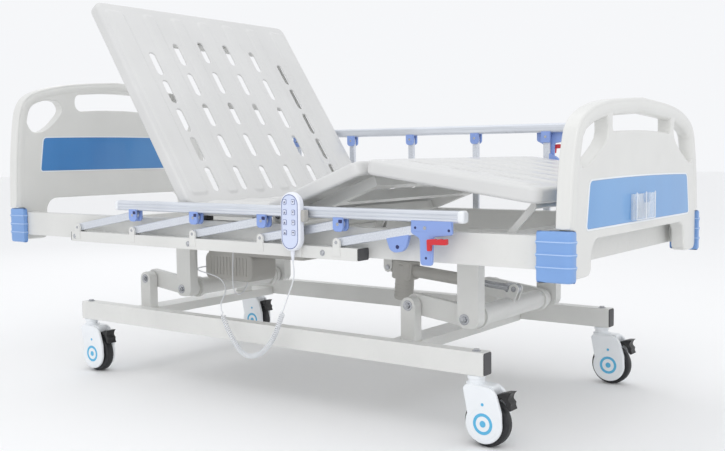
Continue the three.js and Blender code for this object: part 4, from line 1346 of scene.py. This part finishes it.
def make_base():
    """The refined floor frame with its end caps, lug bolts, caster nuts and weld beads."""
    refined("base_frame", "base", "steel", 0.0022)
    caps = Shape("base_end_caps")
    for side in (-1, 1):
        for span in BASE_RAIL_ENDS:
            cap = rounded_rect(*on_side(side, BASE_RAIL_Y), *BASE_RAIL_Z, 0.005, 4)
            caps.prism([cap], "x", span, 0.0012, 2)
    caps.done("base", "dark")
    bolts = Shape("lug_bolts")
    welds = Shape("base_welds")
    for lug in LUG_X.values():
        x0, x1 = lug - LUG_HALF, lug + LUG_HALF
        for side in (-1, 1):
            bolt(bolts, "y", side * PLATE_FACE, side, (lug, LUG_Z))
            y0, y1 = side * LUG_Y[0], side * LUG_Y[1]
            around = ((x0, y0), (x1, y0), (x1, y1), (x0, y1), (x0, y0))
            weld(welds, [(x, y, LUG_FOOT) for x, y in around])
            end = side * CROSS_TUBE_END
            for x in shifted(lug, CROSS_TUBE):
                weld(welds, [(x, end, 0.183), (x, end, 0.2055)], 0.0024)
            weld(welds, [(lug - 0.065, end, 0.2062), (lug + 0.025, end, 0.2062)], 0.0024)
    for x in CASTER_X.values():
        for side in (-1, 1):
            center = (x, side * CASTER_Y)
            bolts.rod("z", 0.012, (0.2395, 0.2412), center, 0.0006, 28)
            bolts.prism([circle(center, 0.0085, 6)], "z", (0.2405, 0.2455), 0.0008, 2)
    bolts.done("base", "bright")
    welds.done("base", "steel_shade")


make_base()

ARM_PLATE, ARM_COLLAR, LEVER_PLATE = (0.2, 0.222), (0.176, 0.192), (0.009, 0.015)
ARM_TUBE_RADIUS, ARM_TUBE_HALF = 0.0295, 0.2005
LIFT_LEVER, LIFT_LEVER_ANGLE = 0.06, 68
BEAD_POINTS = 60


def make_arms():
    """Each lift arm: two plates from the lugs to a cross tube, which on the foot arm bears the lever."""
    for end in ("head", "foot"):
        body = end + "_arm"
        lug, leg = (LUG_X[end], LUG_Z), (LEG_X[end], LEG_Z)
        arm = Shape(body + "_weldment")
        for side in (-1, 1):
            arm.prism([link(lug, leg, 0.03, 16)], "y", on_side(side, ARM_PLATE), 0.003, 4)
            arm.rod("y", 0.036, on_side(side, ARM_COLLAR), leg, 0.002, 40)
        arm.rod("y", ARM_TUBE_RADIUS, (-ARM_TUBE_HALF, ARM_TUBE_HALF), leg, 0.001, 40)
        if end == "foot":
            tip = beyond(leg, LIFT_LEVER, LIFT_LEVER_ANGLE)
            for side in (-1, 1):
                arm.prism([link(leg, tip, 0.015, 12)], "y", on_side(side, LEVER_PLATE), 0.001, 2)
        arm.done(body, "steel", (end + "_lift_arm",), 40)
        beads = Shape(body + "_welds")
        angles = [2 * math.pi * k / BEAD_POINTS for k in range(BEAD_POINTS + 1)]
        radii = [0.0024 * (1 if k % 2 else 0.86) for k in range(BEAD_POINTS + 1)]
        for side in (-1, 1):
            ring = [(leg[0] + 0.0302 * math.cos(a), side * 0.1992, leg[1] + 0.0302 * math.sin(a))
                    for a in angles]
            beads.tube(ring, radii, 8)
        beads.done(body, "steel_shade")


make_arms()


# ---------------------------------------------------------------- bed frame and section frames
PROP_PIVOT = (0.864, 0.502)
SEAT_FEET_X, SEAT_FEET_Y, SEAT_FEET_Z = (-0.12, 0.105), (0.417, 0.453), (0.5448, 0.5595)


def make_bed_frame():
    """The refined deck frame with its leg and hinge bolts, the prop's pins and the seat's feet."""
    refined("bed_frame", "bed", "steel", 0.0022)
    bolts = Shape("leg_bolts")
    feet = Shape("seat_feet")
    for side in (-1, 1):
        for leg in LEG_X.values():
            bolt(bolts, "y", side * PLATE_FACE, side, (leg, LEG_Z))
        for hinge in (BACK_HINGE, THIGH_HINGE):
            bolts.rod("y", 0.0062, on_side(side, (0.38, 0.4085)), hinge, 0.0008, 20)
            bolt(bolts, "y", side * 0.406, side, hinge, 0.0065)
        bolts.rod("y", 0.0042, on_side(side, (0.3855, 0.401)), PROP_PIVOT, 0.0006, 16)
        for x in SEAT_FEET_X:
            foot = rounded_rect(x - 0.018, x + 0.018, *on_side(side, SEAT_FEET_Y), 0.006, 4)
            feet.prism([foot], "z", SEAT_FEET_Z, 0.002, 2)
    bolts.done("bed", "bright")
    feet.done("bed", "dark")


make_bed_frame()
refined("backrest_frame", "backrest", "steel", 0.0018)
refined("thigh_frame", "thigh", "steel", 0.0018)
refined("leg_link", "leg_prop", "steel", 0.0012)


# ---------------------------------------------------------------- actuators
# Each drive's rear pin, front pin (tip) and middle y. The gearbox is between two distances from the
# rear pin, the outer tube ends back_off short of the front pin, and the rod begins at start.
DRIVES = {
    "backrest": {"rear": (-0.455, 0.372), "tip": beyond(BACK_HINGE, 0.07, -112), "y": 0.0,
                 "gearbox": (0.036, 0.116), "back_off": 0.053, "start": 0.145,
                 "bodies": ("back_motor", "back_rod", "backrest")},
    "knee": {"rear": (0.52, 0.45), "tip": beyond(THIGH_HINGE, 0.08, -87), "y": 0.095,
             "gearbox": (0.024, 0.096), "back_off": 0.07, "start": 0.16,
             "bodies": ("knee_motor", "knee_rod", "thigh")},
    "hilo": {"rear": (0.265, 0.38), "tip": beyond((LEG_X["foot"], LEG_Z), LIFT_LEVER, LIFT_LEVER_ANGLE),
             "y": 0.0, "gearbox": (0.024, 0.096), "back_off": 0.1286, "start": 0.22,
             "bodies": ("lift_motor", "lift_rod", "foot_arm")},
}


def motor_can(shape, name):
    """The motor beside the gearbox with its ribs: a box on two drives, an upright can on the third."""
    if name == "backrest":
        shape.prism([rounded_rect(0.036, 0.19, -0.034, 0.034, 0.02, 6)], "y", (-0.044, 0.044), 0.008, 4)
        for k in range(5):
            x = 0.13 + 0.01 * k
            rib = rounded_rect(x - 0.0018, x + 0.0018, -0.035, 0.035, 0.0015, 2)
            shape.prism([rib], "y", (-0.03, 0.03), 0.0008, 1)
    elif name == "knee":
        shape.prism([rounded_rect(0.024, 0.09, -0.022, 0.07, 0.02, 6)], "y", (0.024, 0.076), 0.006, 4)
        rib = rounded_rect(0.0235, 0.0905, -0.0225, 0.0705, 0.02, 6)
        for k in range(4):
            y = 0.036 + 0.01 * k
            shape.prism([rib], "y", (y - 0.0015, y + 0.0015), 0.0007, 1)
    else:
        shape.rod("z", 0.03, (-0.096, 0.02), (0.058, 0.0), 0.006, 40)
        for k in range(4):
            z = -0.084 + 0.012 * k
            shape.rod("z", 0.0306, (z - 0.0018, z + 0.0018), (0.058, 0.0), 0.0007, 40)


def hollow_rod(shape, outer, inner, span, edge, steps):
    shape.prism([circle((0, 0), outer, 40), circle((0, 0), inner, 40)], "x", span, edge, steps)


def pivot_pin(name, y, center, body, half, head):
    """A pin across a clevis, with a flat head on its near side."""
    pin = Shape(name)
    pin.rod("y", 0.0055, (y - half, y + half), center, 0.0008, 20)
    pin.rod("y", 0.0082, (y - head, y - 0.015), center, 0.0005, 20)
    pin.done(body, "bright")


def make_drive(name, data):
    """An actuator from its rear pin to its front pin: motor case, outer tube, nose, screws and rod."""
    rear, tip, y = data["rear"], data["tip"], data["y"]
    length = math.hypot(tip[0] - rear[0], tip[1] - rear[1])
    slope = math.atan2(tip[1] - rear[1], tip[0] - rear[0])
    place = Matrix.Translation((rear[0], y, rear[1])) @ Matrix.Rotation(-slope, 4, "Y")
    motor_body, rod_body, lever_body = data["bodies"]
    box_start, box_end = data["gearbox"]
    tube_end = length - data["back_off"]

    case = Shape(name + "_motor_case", place)
    case.prism([link((0, 0), (0.03, 0), 0.014, 12)], "y", (-0.008, 0.008), 0.0012, 2)
    case.prism([rounded_rect(box_start, box_end, -0.03, 0.03, 0.008, 5)], "y", (-0.027, 0.027), 0.004, 3)
    cover = rounded_rect(box_start + 0.006, box_end - 0.006, -0.024, 0.024, 0.005, 4)
    case.prism([cover], "y", (-0.0276, 0.0276), 0.0006, 1)
    motor_can(case, name)
    case.done(motor_body, "motor", (name + "_actuator",), 45)

    sleeve = Shape(name + "_sleeve", place)
    hollow_rod(sleeve, 0.019, 0.0116, (box_end - 0.006, tube_end - 0.001), 0.0006, 1)
    sleeve.done(motor_body, "motor")
    nose = Shape(name + "_nose", place)
    hollow_rod(nose, 0.0202, 0.0114, (tube_end - 0.016, tube_end), 0.0012, 2)
    screw_spans = [(-0.0284, -0.0268)] if name == "knee" else [(-0.0284, -0.0268), (0.0268, 0.0284)]
    for up in (0.02, -0.02):
        for along in (box_start + 0.01, box_end - 0.01):
            for span in screw_spans:
                nose.rod("y", 0.0032, span, (along, up), 0.0003, 14)
    nose.done(motor_body, "motor")

    rod = Shape(name + "_push_rod", place)
    rod.rod("x", 0.0105, (data["start"], length - 0.021), (0, 0), 0.0008, 32)
    rod.prism([link((length - 0.022, 0), (length, 0), 0.0148, 12)], "y", (-0.008, 0.008), 0.0016, 3)
    rod.done(rod_body, "bright", (name + "_rod",), 40)
    pivot_pin(name + "_front_pin", y, tip, lever_body, 0.0185, 0.0178)
    pivot_pin(name + "_rear_pin", y, rear, "bed", 0.019, 0.018)


for drive_name, drive_data in DRIVES.items():
    make_drive(drive_name, drive_data)


# ---------------------------------------------------------------- control box
BOX_Y = (-0.185, -0.065)
BOX_RELIEF = [(-0.1845, 0.0052), (-0.188, 0.005), (-0.19, 0.004), (-0.192, 0.0045), (-0.1945, 0.0032)]
SUPPLY_RELIEF = [(-0.3845, 0.0056), (-0.388, 0.0052), (-0.39, 0.0042), (-0.392, 0.0046),
                 (-0.395, 0.003)]


def make_control_box():
    """The flat control box, the ribbed supply unit under it, its sockets and its strain reliefs."""
    box = Shape("control_box_case")
    box.prism([rounded_rect(-0.375, 0.056, *BOX_Y, 0.014, 6)], "z", (0.404, 0.4647), 0.004, 3)
    box.prism([rounded_rect(-0.385, -0.165, 0.318, 0.412, 0.024, 8)], "y", BOX_Y, 0.006, 4)
    for k in range(12):
        x = -0.358 + 0.015 * k
        rib = rounded_rect(x - 0.0022, x + 0.0022, 0.336, 0.398, 0.002, 3)
        box.prism([rib], "y", (-0.187, -0.184), 0.0008, 2)
    box.prism([rounded_rect(-0.36, 0.04, -0.17, -0.08, 0.01, 5)], "z", (0.403, 0.406), 0.0008, 2)
    box.done("bed", "motor", ("control_box",), 45)
    details = Shape("control_box_sockets")
    for k in range(5):
        x = -0.13 + 0.034 * k
        socket = rounded_rect(x - 0.012, x + 0.012, 0.42, 0.446, 0.004, 4)
        details.prism([socket], "y", (-0.1875, -0.184), 0.0008, 2)
    for x in (-0.355, 0.036):
        details.rod("y", 0.0035, (-0.1862, -0.184), (x, 0.434), 0.0004, 14)
    details.relief("y", BOX_RELIEF, (MOTOR_LEAD[0][0], MOTOR_LEAD[0][2]), 16)
    details.relief("x", SUPPLY_RELIEF, CORD_LOW[-1][1:], 16)
    details.done("bed", "dark")


make_control_box()
